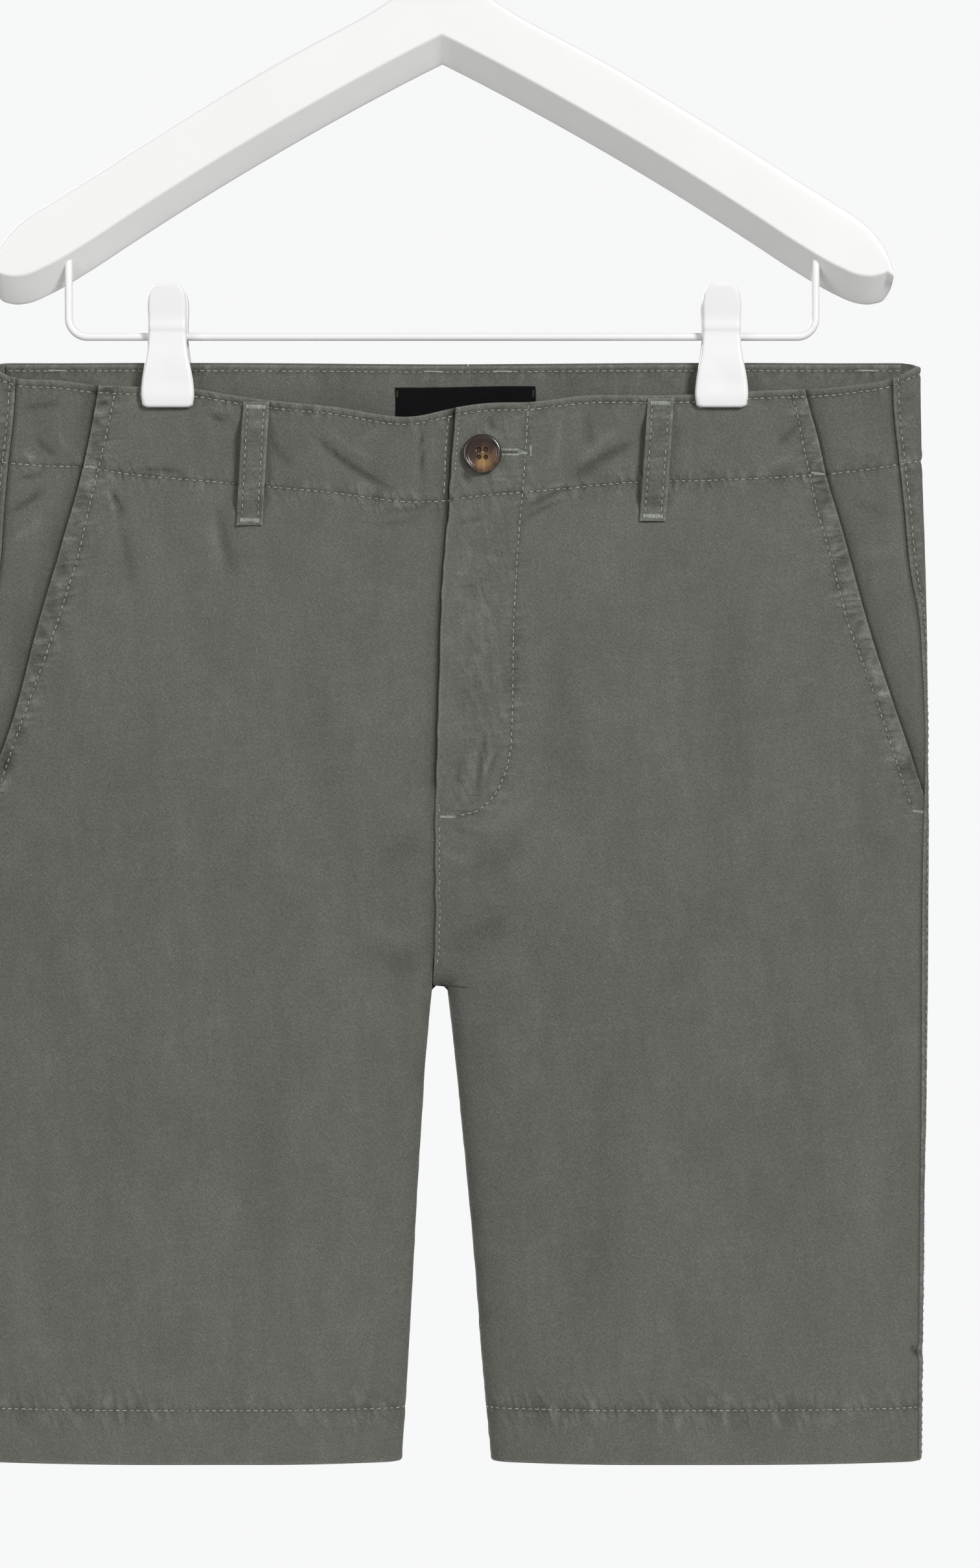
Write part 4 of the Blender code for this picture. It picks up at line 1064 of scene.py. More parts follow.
def object_place(tree):
    return new_node(tree, "ShaderNodeTexCoord").outputs["Object"]


def surface(name, roughness, colour=None, **sockets):
    """A new material, its node tree and its shader, with the plain values set."""
    made = bpy.data.materials.new(name)
    made.use_nodes = True
    shader = made.node_tree.nodes["Principled BSDF"]
    shader.inputs["Roughness"].default_value = roughness
    for socket, value in sockets.items():
        shader.inputs[socket.replace("_", " ")].default_value = value
    if colour is not None:
        shader.inputs["Base Color"].default_value = (*colour, 1.0)
        made.diffuse_color = (*colour, 1.0)
    return made, made.node_tree, shader


TWILL_PITCH = 0.00082
TWILL_ANGLE = math.radians(42.0)
FLOAT_SHARE = 0.62  # how many threads run across the twill's ridges, against along them
RIB_PITCH = 0.00042
WARP_PITCH = 0.00034
TWILL_DARK = (0.062, 0.0635, 0.0535)
TWILL_MID = (0.1035, 0.106, 0.0915)
TWILL_PALE = (0.174, 0.180, 0.161)


def twill(name, shade=1.0):
    """Washed cotton twill: a fine diagonal weave, mottled dye, pale where it is rubbed, with painted
    shade and highlight from the marks and the gathers.
    """
    made, tree, shader = surface(
        name, 0.88, Sheen_Weight=0.22, Sheen_Roughness=0.45, Sheen_Tint=(0.80, 0.84, 0.76, 1.0),
        Specular_IOR_Level=0.22,
    )
    place = kept_on_cloth(tree, "cloth", "Vector")
    marked = kept_on_cloth(tree, "marks", "Vector")
    wear_and_shade, upright, level = new_node(tree, "ShaderNodeSeparateXYZ", ((0, marked),)).outputs
    turn = 2.0 * math.pi / TWILL_PITCH
    down = turn * math.cos(TWILL_ANGLE)
    across = turn * math.sin(TWILL_ANGLE)
    waver = noise(tree, place, 420.0, 1.0)
    lines = waves(tree, place, (across, down, 0.0), maths(tree, "MULTIPLY", waver, 5.0))
    floats_way = (-FLOAT_SHARE * down, FLOAT_SHARE * across, 0.0)
    floats = waves(tree, place, floats_way, maths(tree, "MULTIPLY", waver, 7.0))
    streaks = stretched(tree, place, -TWILL_ANGLE, 1.5, 1.0)
    grain = noise(tree, streaks, 1650.0, 1.0)
    slub = noise(tree, streaks, 760.0, 2.0)
    washed = noise(tree, stretched(tree, place, 0.0, 1.0, 3.6), 150.0, 3.0, 0.6)
    patch = noise(tree, place, 95.0, 3.0, 0.6)
    cloud = noise(tree, place, 24.0, 3.0, 0.6)
    # the gathers' relief, also added to the tone: painted shade in their valleys, painted highlight on
    # their ridges
    gathers_and_shade = maths(
        tree, "ADD", gathers(tree, stretched(tree, place, 0.12, 3.6, 1.0), upright),
        gathers(tree, stretched(tree, place, 0.30, 1.0, 3.0), level),
    )
    tone = summed(
        tree,
        (
            (lines, 0.030), (floats, 0.015), (grain, 1.00), (slub, 0.45), (patch, 0.14),
            (washed, 0.22), (cloud, 0.11), (gathers_and_shade, 2.30), (0.5, 1.0),
        ),
    )
    stops = [
        (at, tuple(part * shade for part in colour))
        for at, colour in ((0.0, TWILL_DARK), (0.5, TWILL_MID), (1.0, TWILL_PALE))
    ]
    # the marks scale the colour: wear, painted shade in troughs, seams and laps, and painted highlight on
    # ridges
    rubbed_and_shaded = maths(tree, "POWER", 2.0, maths(tree, "MULTIPLY", wear_and_shade, 0.7))
    inputs = ((0, ramp(tree, tone, stops)), ("Scale", rubbed_and_shaded))
    colour = new_node(tree, "ShaderNodeVectorMath", inputs, operation="SCALE")
    tree.links.new(colour.outputs["Vector"], shader.inputs["Base Color"])
    weave = maths(tree, "ADD", lines, maths(tree, "MULTIPLY", floats, 0.5))
    crumple = noise(tree, place, 150.0, 3.0, 0.55)
    layers = (
        (weave, 0.000018), (grain, 0.00022), (slub, 0.00022), (crumple, 0.00035),
        (gathers_and_shade, 0.0042),
    )
    tree.links.new(bumps(tree, layers), shader.inputs["Normal"])
    return made


def thread_material():
    """Sewing thread, each stitch slightly lighter or darker than the next; its darkest colours are
    painted shade in needle holes and at thread ends.
    """
    made, tree, shader = surface("thread", 0.62, Sheen_Weight=0.2, Specular_IOR_Level=0.3)
    tone = kept_on_cloth(tree, "tone", "Fac")
    fuzz = noise(tree, object_place(tree), 2600.0, 2.0)
    value = summed(tree, ((tone, 0.12), (fuzz, 0.5), (0.5, 1.0)))
    stops = (
        (0.0, (0.018, 0.018, 0.016)), (0.2, (0.060, 0.063, 0.055)), (0.34, (0.150, 0.160, 0.142)),
        (0.5, (0.265, 0.285, 0.255)), (1.0, (0.41, 0.44, 0.40)),
    )
    dress(tree, shader, value, stops, ((fuzz, 0.00008),))
    return made


def label_material():
    """Black woven satin with fine ribs across it."""
    made, tree, shader = surface("label_weave", 0.8, Sheen_Weight=0.0, Specular_IOR_Level=0.06)
    place = kept_on_cloth(tree, "cloth", "Vector")
    rubbed_and_shaded = kept_on_cloth(tree, "marks", "Fac")
    ribs = waves(tree, place, (0.0, 2.0 * math.pi / RIB_PITCH, 0.0))
    warp = waves(tree, place, (2.0 * math.pi / WARP_PITCH, 0.0, 0.0))
    grain = noise(tree, place, 1400.0, 2.0)
    cloud = noise(tree, place, 120.0, 2.0)
    value = summed(
        tree,
        ((ribs, 0.08), (warp, 0.05), (grain, 0.5), (cloud, 0.3), (rubbed_and_shaded, 0.25), (0.4, 1.0)),
    )
    stops = (
        (0.0, (0.003, 0.003, 0.0035)), (0.5, (0.006, 0.006, 0.007)), (1.0, (0.020, 0.019, 0.021)),
    )
    dress(tree, shader, value, stops, ((ribs, 0.00004), (warp, 0.00003), (grain, 0.0001)))
    return made


def horn_material():
    """Polished horn: nearly black round the rim, amber streaks below the middle."""
    made, tree, shader = surface("button_horn", 0.24, Coat_Weight=0.5, Coat_Roughness=0.2)
    place = object_place(tree)
    inputs = (("Vector", place), ("Scale", (1.0, 1.0, 0.32)), ("Rotation", (0.0, 0.35, 0.0)))
    drawn_out = new_node(tree, "ShaderNodeMapping", inputs).outputs["Vector"]
    streaks = noise(tree, drawn_out, 460.0, 4.0, 0.6)
    clouds = noise(tree, drawn_out, 190.0, 2.0)
    inputs = ((0, place), (1, (0.0010, 0.0, -0.0050)))
    away = new_node(tree, "ShaderNodeVectorMath", inputs, operation="DISTANCE").outputs["Value"]
    near = maths(tree, "SUBTRACT", 1.0, maths(tree, "MULTIPLY", away, 106.0))
    value = summed(tree, ((near, 0.85), (streaks, 0.62), (clouds, 0.9)))
    stops = (
        (0.0, (0.026, 0.015, 0.011)), (0.22, (0.052, 0.028, 0.017)), (0.5, (0.150, 0.084, 0.036)),
        (0.75, (0.32, 0.185, 0.070)), (1.0, (0.52, 0.34, 0.15)),
    )
    dress(tree, shader, value, stops, ((streaks, 0.00003),))
    return made


def plastic(name, colour, roughness):
    """Moulded white plastic: faint flow marks and a slightly uneven skin."""
    made, tree, shader = surface(
        name, roughness, Coat_Weight=0.15, Coat_Roughness=0.3, Specular_IOR_Level=0.45
    )
    place = object_place(tree)
    flow = noise(tree, place, 26.0, 2.0)
    speck = noise(tree, place, 900.0, 2.0)
    value = summed(tree, ((flow, 0.8), (speck, 0.3), (0.5, 1.0)))
    low = tuple(part * 0.955 for part in colour)
    layers = ((speck, 0.000012), (flow, 0.0005))
    dress(tree, shader, value, ((0.0, low), (1.0, colour)), layers)
    return made


def dark_thread():
    """The brown thread of the button and the label's corners, also the painted shade of the buttonhole's
    slit.
    """
    made, tree, shader = surface("button_thread", 0.7, Specular_IOR_Level=0.2)
    fuzz = noise(tree, object_place(tree), 2400.0, 2.0)
    value = summed(tree, ((fuzz, 1.0), (0.5, 1.0)))
    stops = ((0.0, (0.018, 0.012, 0.008)), (1.0, (0.075, 0.055, 0.038)))
    tree.links.new(ramp(tree, value, stops), shader.inputs["Base Color"])
    return made


# ---------------------------------------------------------------- the shorts
BODY_ROWS_STEP = 1.0
LEG_ROWS_STEP = 1.9
OUTER_COLUMNS = spaced(0.0, 14.0, 0.95, (0.0,))
INNER_COLUMNS = spaced(0.0, 45.0, 1.2, (0.0,))
MIDDLE_COLUMNS = 108


def add_sheet(made, node):
    """Attaches a shell of cloth that hangs to the root, and hides the part that it replaces."""
    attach(made, "root")
    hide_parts(node)


def share_of_lap(side, grid):
    """How far the front's skin is raised or held down where the fly laps."""
    from_edge = grid.x - middle_seam(FRONT, grid.nominal)
    hold = lap_hold(grid.nominal)
    if side > 0:
        reach = lap(grid.nominal) + 4.0
        return FLY_RISE * hold * (1.0 - smooth_step((from_edge - reach) / 14.0))
    drop = cloth_above(grid.nominal) + SEAM_GAP - FLY_RISE
    return -drop * hold * smooth_step((from_edge + 12.0) / 8.0)


def waist_sewing(relief, side, strength=1.0):
    """The waist edge, its topstitch and the lower stitch line, on any panel."""
    grid = relief.grid
    inset = side * (outline(side, grid.z) - grid.x)
    relief.edge(grid.from_top)
    relief.stitch(grid.from_top - TOPSTITCH, grid.x, 0.40 * strength, 3.6, groove=0.38, level=True)
    below_band = band_edge(grid.face, grid.x, inset) - grid.z
    relief.stitch(below_band, grid.x, 0.50 * strength, 5.0, pitch=4.0, groove=0.45, level=True)
    return below_band


def hem_sewing(relief):
    above = relief.grid.z - HEM
    relief.edge(above)
    relief.stitch(above - HEM_STITCH, relief.grid.x, 0.38, 8.0, pitch=6.0, groove=0.36, level=True)


def pocket_sewing(relief, side):
    """The slant pocket's folded edge and its stitch line, and the side seam below them."""
    grid = relief.grid
    on_pocket = smooth_step((grid.z - POCKET_END + 2.0) / 4.0)
    line, way = line_field(POCKET_STITCH[side], grid.x, grid.z)
    strip = ridges((way - 0.5 * grid.from_outer) / 6.5, grid.from_outer / 16.0, 23.0 + side)
    rippled = strip * bell(grid.from_outer - 4.0, 4.6) * on_pocket
    relief.height += 0.85 * rippled
    # tone follows the strip's ripples: painted shade in their troughs, paler ridges of rubbed wear with
    # painted highlight
    relief.wear_and_shade += 0.62 * rippled
    relief.upright = np.maximum(relief.upright, bell(grid.from_outer - 5.0, 6.0) * on_pocket)
    relief.stitch(line, way, 0.42, 4.5, groove=0.36)
    relief.edge(grid.from_outer, on_pocket)
    # below the pocket, a groove along the side seam with painted shade in it
    relief.height -= 0.42 * bell(grid.from_outer, 2.2) * (1.0 - on_pocket)
    relief.wear_and_shade -= 1.2 * bell(grid.from_outer, 1.1) * (1.0 - on_pocket)


def fly_overlap(relief, body):
    """The fly's curved stitch line and its folded edge, on the right front."""
    grid = relief.grid
    line, way = line_field(FLY_STITCH, grid.x, grid.z)
    relief.stitch(line, way, 0.38, 4.5, pitch=5.0, groove=0.36)
    in_fly = bell(grid.from_inner - 20.0, 17.0) * smooth_step((grid.z - FLY_END) / 8.0)
    blotch = soft_noise(grid.x / 6.5, grid.z / 13.0, 31.0)
    blotch += 0.6 * soft_noise(grid.x / 3.2, grid.z / 8.0, 33.0)
    relief.height += 0.13 * blotch * in_fly
    relief.wear_and_shade += 0.14 * (1.0 + blotch) * in_fly
    relief.level = np.maximum(relief.level, 0.45 * in_fly)
    relief.upright = np.maximum(relief.upright, 0.30 * in_fly)
    relief.edge(grid.from_inner, body)
    relief.height -= 0.22 * bell(grid.from_inner - FLY_EDGE_STITCH, 0.7) * body


def fly_underlap(relief, body):
    """The left front's stitch line at the fly, and the shade under the overlap's edge."""
    grid = relief.grid
    past_seam = grid.x - middle_seam(FRONT, grid.z)
    in_band = smooth_step((grid.z + 346.0) / 3.0)
    relief.height -= 0.2 * bell(past_seam + UNDERLAP_STITCH, 0.8) * in_band
    in_fly = smooth_step((grid.z - FLY_END - 11.0) / 6.0)
    shade = 2.6 * bell(past_seam + 0.2, 1.3) + 0.35 * bell(past_seam + 2.0, 4.0)
    relief.wear_and_shade -= shade * (0.3 + 0.7 * in_fly) * body


def inner_leg(relief, side, legs):
    """The seam at the inner edge of a leg's front; the right one is in shade."""
    grid = relief.grid
    pull = soft_noise(grid.z / 6.0, grid.from_inner / 9.0, 41.0 + side)
    pulled = pull * bell(grid.from_inner, 6.0)
    relief.height += (0.14 * pulled - 0.3 * bell(grid.from_inner, 1.2)) * legs
    # tone follows the pulls: painted shade in their troughs
    relief.wear_and_shade += 0.4 * pulled * legs
    if side > 0:
        # painted shade along the right leg's inner edge
        relief.wear_and_shade -= 0.16 * bell(grid.from_inner - 4.0, 18.0) * legs


def level_lines(sewn, outer, grid, below_band):
    """The stitches of the waist's two lines and of the hem's."""
    places = ((grid.from_top, TOPSTITCH), (below_band, 0.0), (grid.z - HEM, HEM_STITCH))
    for distance, at in places:
        sewn.line(along_columns(outer, distance, at))


def front_start(side, z):
    seam = seam_start(side, z, FRONT_TOP) + 0.5 * SEAM_GAP
    return max(seam, pocket_start(side, z, FRONT_TOP)) if z > POCKET_END else seam


def front(side, name, cloth, thread):
    """A front from the slant pocket to the fly, with all its sewing."""
    rows = rows_of(FRONT_TOP, BODY_ROWS_STEP, LEG_ROWS_STEP)
    grid = wall_grid(
        side, FRONT, rows, FRONT_TOP, lambda z: front_start(side, z), OUTER_COLUMNS,
        INNER_COLUMNS, MIDDLE_COLUMNS,
    )
    relief = Relief(grid, 11.0 + side)
    relief.surface(PANEL_UNEVEN)
    relief.creases()
    below_band = waist_sewing(relief, side)
    hem_sewing(relief)
    pocket_sewing(relief, side)
    body = smooth_step((grid.z - CROTCH) / 14.0)
    if side > 0:
        fly_overlap(relief, body)
    else:
        fly_underlap(relief, body)
    inner_leg(relief, side, 1.0 - body)

    outer, inner = lifted(side, grid, relief, share_of_lap(side, grid), wall(side, grid))
    made = shell(name, outer, inner, flat_places(grid), relief.worn_and_shaded(), cloth)
    skin = skin_of(outer, inner)
    sewn = Threads(skin, 50 + side)
    level_lines(sewn, outer, grid, below_band)
    sewn.line(laid(skin, POCKET_STITCH[side]))
    if side > 0:
        sewn.line(laid(skin, FLY_STITCH))
        edge_line = along_rows(outer, grid.from_inner, FLY_EDGE_STITCH)
        in_band = [place for place in edge_line if place[2] > -333.0]
        below_fly = [place for place in edge_line if CROTCH + 8.0 < place[2] < FLY_END - 3.0]
        sewn.line(in_band, pitch=2.4, length=1.9)
        sewn.line(below_fly, pitch=3.6)
        sewn.line(laid(skin, ((-1.6, -490.0), (-0.9, -495.6))), pitch=2.2, length=1.9)
    else:
        heights = np.linspace(-304.5, -342.0, 12)
        line = [(float(middle_seam(FRONT, z)) - UNDERLAP_STITCH, z) for z in heights]
        sewn.line(laid(skin, line), pitch=3.4)
    for start, end in FRONT_TACKS[side]:
        sewn.tack(start, end, width=1.5)
    return made, sewn.finished(f"stitching_{name}", thread), skin


def back(side, name, cloth, thread):
    """A back, which wraps round the side to its lapped side seam on the front."""
    rows = rows_of(BACK_TOP, 1.5, 2.9)

    def start_of(z):
        return 0.5 * SEAM_GAP - seam_start(side, z, BACK_TOP)

    outer_steps = spaced(0.0, 42.0, 1.3, (0.0,))
    inner_steps = spaced(0.0, 20.0, 1.5, (0.0,))
    grid = wall_grid(side, BACK, rows, BACK_TOP, start_of, outer_steps, inner_steps, 66)
    relief = Relief(grid, 61.0 + side)
    relief.surface(PANEL_UNEVEN)
    relief.creases()
    below_band = waist_sewing(relief, side)
    hem_sewing(relief)
    relief.height += 0.34 * bell(grid.from_outer - 1.6, 3.4)
    relief.edge(grid.from_outer, puff=0.0)
    relief.stitch(grid.from_outer - SEAM_STITCH, grid.z, 0.16, 4.0)
    if side > 0:
        body = smooth_step((grid.z - CROTCH) / 14.0)
        relief.height += 0.34 * bell(grid.from_inner - 1.6, 3.4) * body
        relief.stitch(grid.from_inner - SEAT_STITCH, grid.z, 0.2, 6.0)
        relief.edge(grid.from_inner, body, puff=0.0)
    else:
        # a groove under the right back's lapped edge, with painted shade in it
        relief.height -= 0.3 * bell(grid.from_inner, 2.0)
        relief.wear_and_shade -= 0.3 * bell(grid.from_inner, 1.4)

    outer, inner = lifted(side, grid, relief, 0.0, wall(side, grid))
    made = shell(name, outer, inner, flat_places(grid), relief.worn_and_shaded(), cloth)
    sewn = Threads(skin_of(outer, inner), 70 + side)
    level_lines(sewn, outer, grid, below_band)
    sewn.line(along_rows(outer, grid.from_outer, SEAM_STITCH), pitch=3.6)
    if side > 0:
        seat = along_rows(outer, grid.from_inner, SEAT_STITCH)
        sewn.line([place for place in seat if place[2] > CROTCH + 8.0], pitch=3.6)
    return made, sewn.finished(f"stitching_{name}", thread)


def side_piece(side, name, cloth, thread):
    """The piece behind the slant pocket, from the side seam to well under the pocket edge."""
    spots = (FRONT_TOP, FRONT_TOP - TOPSTITCH, FRONT_TOP - BAND_DEPTH)
    rows = []
    for nominal in spaced(FRONT_TOP, POCKET_END, 1.3, spots):
        z = float(nominal)
        seam = seam_start(side, z, FRONT_TOP) + 0.5 * SEAM_GAP
        pocket = pocket_start(side, z, FRONT_TOP)
        edge = float(outline(side, seam_height(side, z, FRONT_TOP)))
        shown = seam + (pocket - seam) * np.linspace(0.0, 1.0, 36)
        girth = np.concatenate([shown, pocket + np.linspace(1.0, 20.0, 12)])
        inset = inset_of(girth, z)
        face = np.full(len(girth), FRONT)
        to_pocket = np.maximum(pocket - girth, 0.0)
        x = edge - side * inset
        rows.append(grid_row(face, x, inset, z, FRONT_TOP, girth - seam, to_pocket))
    grid = stacked(rows)
    relief = Relief(grid, 81.0 + side)
    relief.surface()
    relief.creases()
    below_band = waist_sewing(relief, side, 1.2)
    relief.height -= 0.42 * bell(grid.from_outer, 2.2)
    # painted shadow along the side seam and under the pocket's folded edge, and painted shade over the
    # whole piece
    relief.wear_and_shade -= 1.4 * bell(grid.from_outer, 1.1) + 2.0 * bell(grid.from_inner, 1.3)
    relief.wear_and_shade -= 0.6 * bell(grid.from_inner, 6.0) + 0.12
    width = np.maximum(grid.from_outer + grid.from_inner, 0.1)
    drop = (cloth_above(grid.nominal) + SEAM_GAP) * smooth_step(grid.from_outer / width)
    outer, inner = lifted(side, grid, relief, -drop, CLOTH)
    made = shell(name, outer, inner, flat_places(grid), relief.worn_and_shaded(), cloth)
    sewn = Threads(skin_of(outer, inner), 90 + side)
    for distance, at in ((grid.from_top, TOPSTITCH), (below_band, 0.0)):
        line = along_columns(outer, distance, at)
        sewn.line([place for place, away in zip(line, grid.from_inner[10]) if away > 0.5])
    return made, sewn.finished(f"stitching_{name}", thread)


FACING_LEFT = -210.4
FACING_RIGHT = 221.6
FACING_TOP = -278.9
FACING_BOTTOM = -325.0
INSIDE_TACKS = ((-190.0, -182.0), (-8.8, 0.4), (24.6, 34.0), (201.0, 210.0))


def facing_y(x, z):
    """Y of the facing's visible side, which looks forward."""
    right, _ = form_point(1, BACK, x, z)
    left, _ = form_point(-1, BACK, x, z)
    return np.where(x > 0, right[..., 1], left[..., 1]) - CLOTH - SEAM_GAP - FACING_CLOTH


def facing(cloth, thread):
    """The inside of the back waist, seen over the front's dipped edge."""
    x, z = np.meshgrid(
        np.linspace(FACING_LEFT, FACING_RIGHT, 260), np.linspace(FACING_TOP, FACING_BOTTOM, 38)
    )
    face = np.full(x.shape, BACK)
    grid = Grid(x, z, face, x - FACING_LEFT, FACING_RIGHT - x, FACING_TOP - z, z)
    relief = Relief(grid, 101.0)
    relief.edge(grid.from_top)
    relief.stitch(FACING_STITCH - grid.from_top, x, 0.2, 4.5, groove=0.3, level=True)
    ripple = soft_noise(x / 13.0, z / 30.0, 104.0) + 0.6 * soft_noise(x / 5.2, z / 16.0, 105.0)
    relief.height += 0.22 * ripple
    # tone follows the ripples with painted shade in their troughs, and painted shade darkens the facing
    # lower down inside the waist
    relief.wear_and_shade += 0.20 * ripple - 0.25 * smooth_step((-z - 286.0) / 16.0)
    y = facing_y(x, z)
    visible = np.stack([x, y - relief.height, z], axis=-1)
    hidden = np.stack([x, y + FACING_CLOTH - 0.1, z], axis=-1)
    made = shell("back_facing", visible, hidden, flat(-x, z), relief.worn_and_shaded(), cloth)
    sewn = Threads(skin_of(visible, hidden), 107)
    sewn.line(along_columns(visible, grid.from_top, FACING_STITCH))
    for left, right in INSIDE_TACKS:
        sewn.tack((left, -281.6), (right, -281.8), width=0.9, radius=0.22)
    return made, sewn.finished("stitching_facing", thread)


LABEL_LEFT = -22.8
LABEL_RIGHT = 45.0
LABEL_TOP = -289.6
LABEL_BOTTOM = -327.6


def label(cloth, thread):
    """A bare black woven label, tacked at its corners."""
    u, v = np.meshgrid(np.linspace(0.0, 1.0, 90), np.linspace(0.0, 1.0, 40))
    width = LABEL_RIGHT - LABEL_LEFT
    height = LABEL_TOP - LABEL_BOTTOM
    x = LABEL_LEFT + width * u + 0.25 * np.sin(7.0 * v)
    sag = 0.9 * (u - 0.35) * (u - 0.9) + 0.35 * np.sin(5.0 * u + 0.6)
    z = LABEL_TOP + 0.5 - height * v - 0.7 * sag * (1.0 - v)
    lift = 0.30 + 0.35 * soft_noise(u * 6.0, v * 3.0, 111.0) * np.sin(math.pi * u)
    edge_away = np.minimum(np.minimum(u, 1.0 - u) * width, np.minimum(v, 1.0 - v) * height)
    y = facing_y(x, z) - SEAM_GAP - lift - 0.55
    visible = np.stack([x, y + 0.45 * rounded(edge_away, 0.6), z], axis=-1)
    hidden = np.stack([x, y + 0.6, z], axis=-1)
    wear_and_shade = 0.9 * bell(edge_away - 0.3, 0.5) - 0.6 * bell(edge_away - 1.6, 0.5)
    made = shell("label", visible, hidden, flat(x, z), worn_and_shaded(wear_and_shade, 0.0, 0.0), cloth)
    sewn = Threads(skin_of(visible, hidden), 113)
    for corner in (LABEL_LEFT + 1.0, LABEL_RIGHT - 1.0):
        sewn.tack((corner, -291.0), (corner, -294.4), width=1.2, radius=0.13)
    return made, sewn.finished("stitching_label", thread)


def belt_loop(name, face, top_x, top_z, bottom_x, bottom_z, cloth, thread):
    """A folded strip, stitched along both edges and tacked down at both ends."""
    side = 1 if top_x > 0.0 else -1
    share, across = np.meshgrid(np.linspace(0, 1, 64), np.linspace(-1, 1, 19), indexing="ij")
    half = 0.5 * LOOP_WIDTH
    x = top_x + (bottom_x - top_x) * share + across * half
    z = top_z + (bottom_z - top_z) * share
    rise = smooth_step((share - 0.08) / 0.17) * smooth_step((0.92 - share) / 0.17)
    foot = face * form_point(side, face, x, z)[0][..., 1]
    seat = np.maximum(foot, foot.max(axis=1, keepdims=True) - 0.15)
    base = seat + SEAM_GAP + 0.1 + LOOP_RISE * rise
    end_away = LOOP_LENGTH * np.minimum(share, 1.0 - share)
    side_away = half * (1.0 - np.abs(across))
    uneven = soft_noise(share * 15.0, across, 125.0 + top_x)
    height = 0.25 * soft_noise(share * 7.0, across * 0.6, 121.0 + top_x) + 0.12 * uneven
    height += 0.10 * bell(side_away - 3.8, 1.6) - 0.16 * bell(side_away - 2.3, 0.6)
    height -= 0.6 * rounded(side_away, 0.6) + 0.5 * rounded(end_away, 0.6)
    height -= 0.35 * bell(end_away - 2.8, 1.0)
    wear_and_shade = 0.8 * bell(side_away, 0.9) + 0.7 * bell(end_away, 0.9) + 0.3 * uneven
    # painted shade along the grooves of the stitch lines
    wear_and_shade -= 0.4 * bell(side_away - 2.3, 0.8)
    outer = np.stack([x, face * (base + LOOP_CLOTH + height), z], axis=-1)
    inner = np.stack([x, face * base, z], axis=-1)
    places = flat(-face * (across * half + top_x), z * 1.02 + 40.0)
    made = shell(name, outer, inner, places, worn_and_shaded(wear_and_shade, 0.5, 0.2), cloth)
    sewn = Threads(skin_of(outer, inner), 400 + int(top_x))
    for edge in (-1.0, 1.0):
        column = along_rows(outer, (across - edge) * -edge * half, 2.4)
        sewn.line([place for place in column if bottom_z + 3.2 < place[2] < top_z - 3.2], pitch=3.5)
    for at, tack_z in ((0.045, top_z - 2.4), (0.955, bottom_z + 2.4)):
        middle = top_x + (bottom_x - top_x) * at
        sewn.tack((middle - 4.6, tack_z), (middle + 4.6, tack_z - 0.3), face, width=2.5, radius=0.26)
    return made, sewn.finished(f"stitching_{name}", thread)


# ---------------------------------------------------------------- waist button
def revolved(name, profile, sides, skin):
    """A turned piece about Y from (radius, y) pairs that start and end on the axis."""
    points = [(0.0, profile[0][1], 0.0), (0.0, profile[-1][1], 0.0)]
    faces = []
    rings = []
    for radius, y in profile[1:-1]:
        rings.append(range(len(points), len(points) + sides))
        for k in range(sides):
            angle = 2.0 * math.pi * k / sides
            points.append((radius * math.cos(angle), y, radius * math.sin(angle)))
    for k in range(sides):
        after = (k + 1) % sides
        faces.append([0, rings[0][k], rings[0][after]])
        faces.append([1, rings[-1][after], rings[-1][k]])
        for low, high in zip(rings, rings[1:]):
            faces.append([low[after], low[k], high[k], high[after]])
    return mesh_object(name, points, faces, skin, sharp=50.0)


def corners_cut(first, second):
    """The two places a quarter of the way in from both ends of a stretch."""
    for share in (0.25, 0.75):
        yield tuple((1.0 - share) * a + share * b for a, b in zip(first, second))


def rounded_profile(points):
    """An open profile with its corners cut twice, its ends kept."""
    for _ in range(2):
        cut = [place for pair in zip(points, points[1:]) for place in corners_cut(*pair)]
        points = [points[0], *cut, points[-1]]
    return points


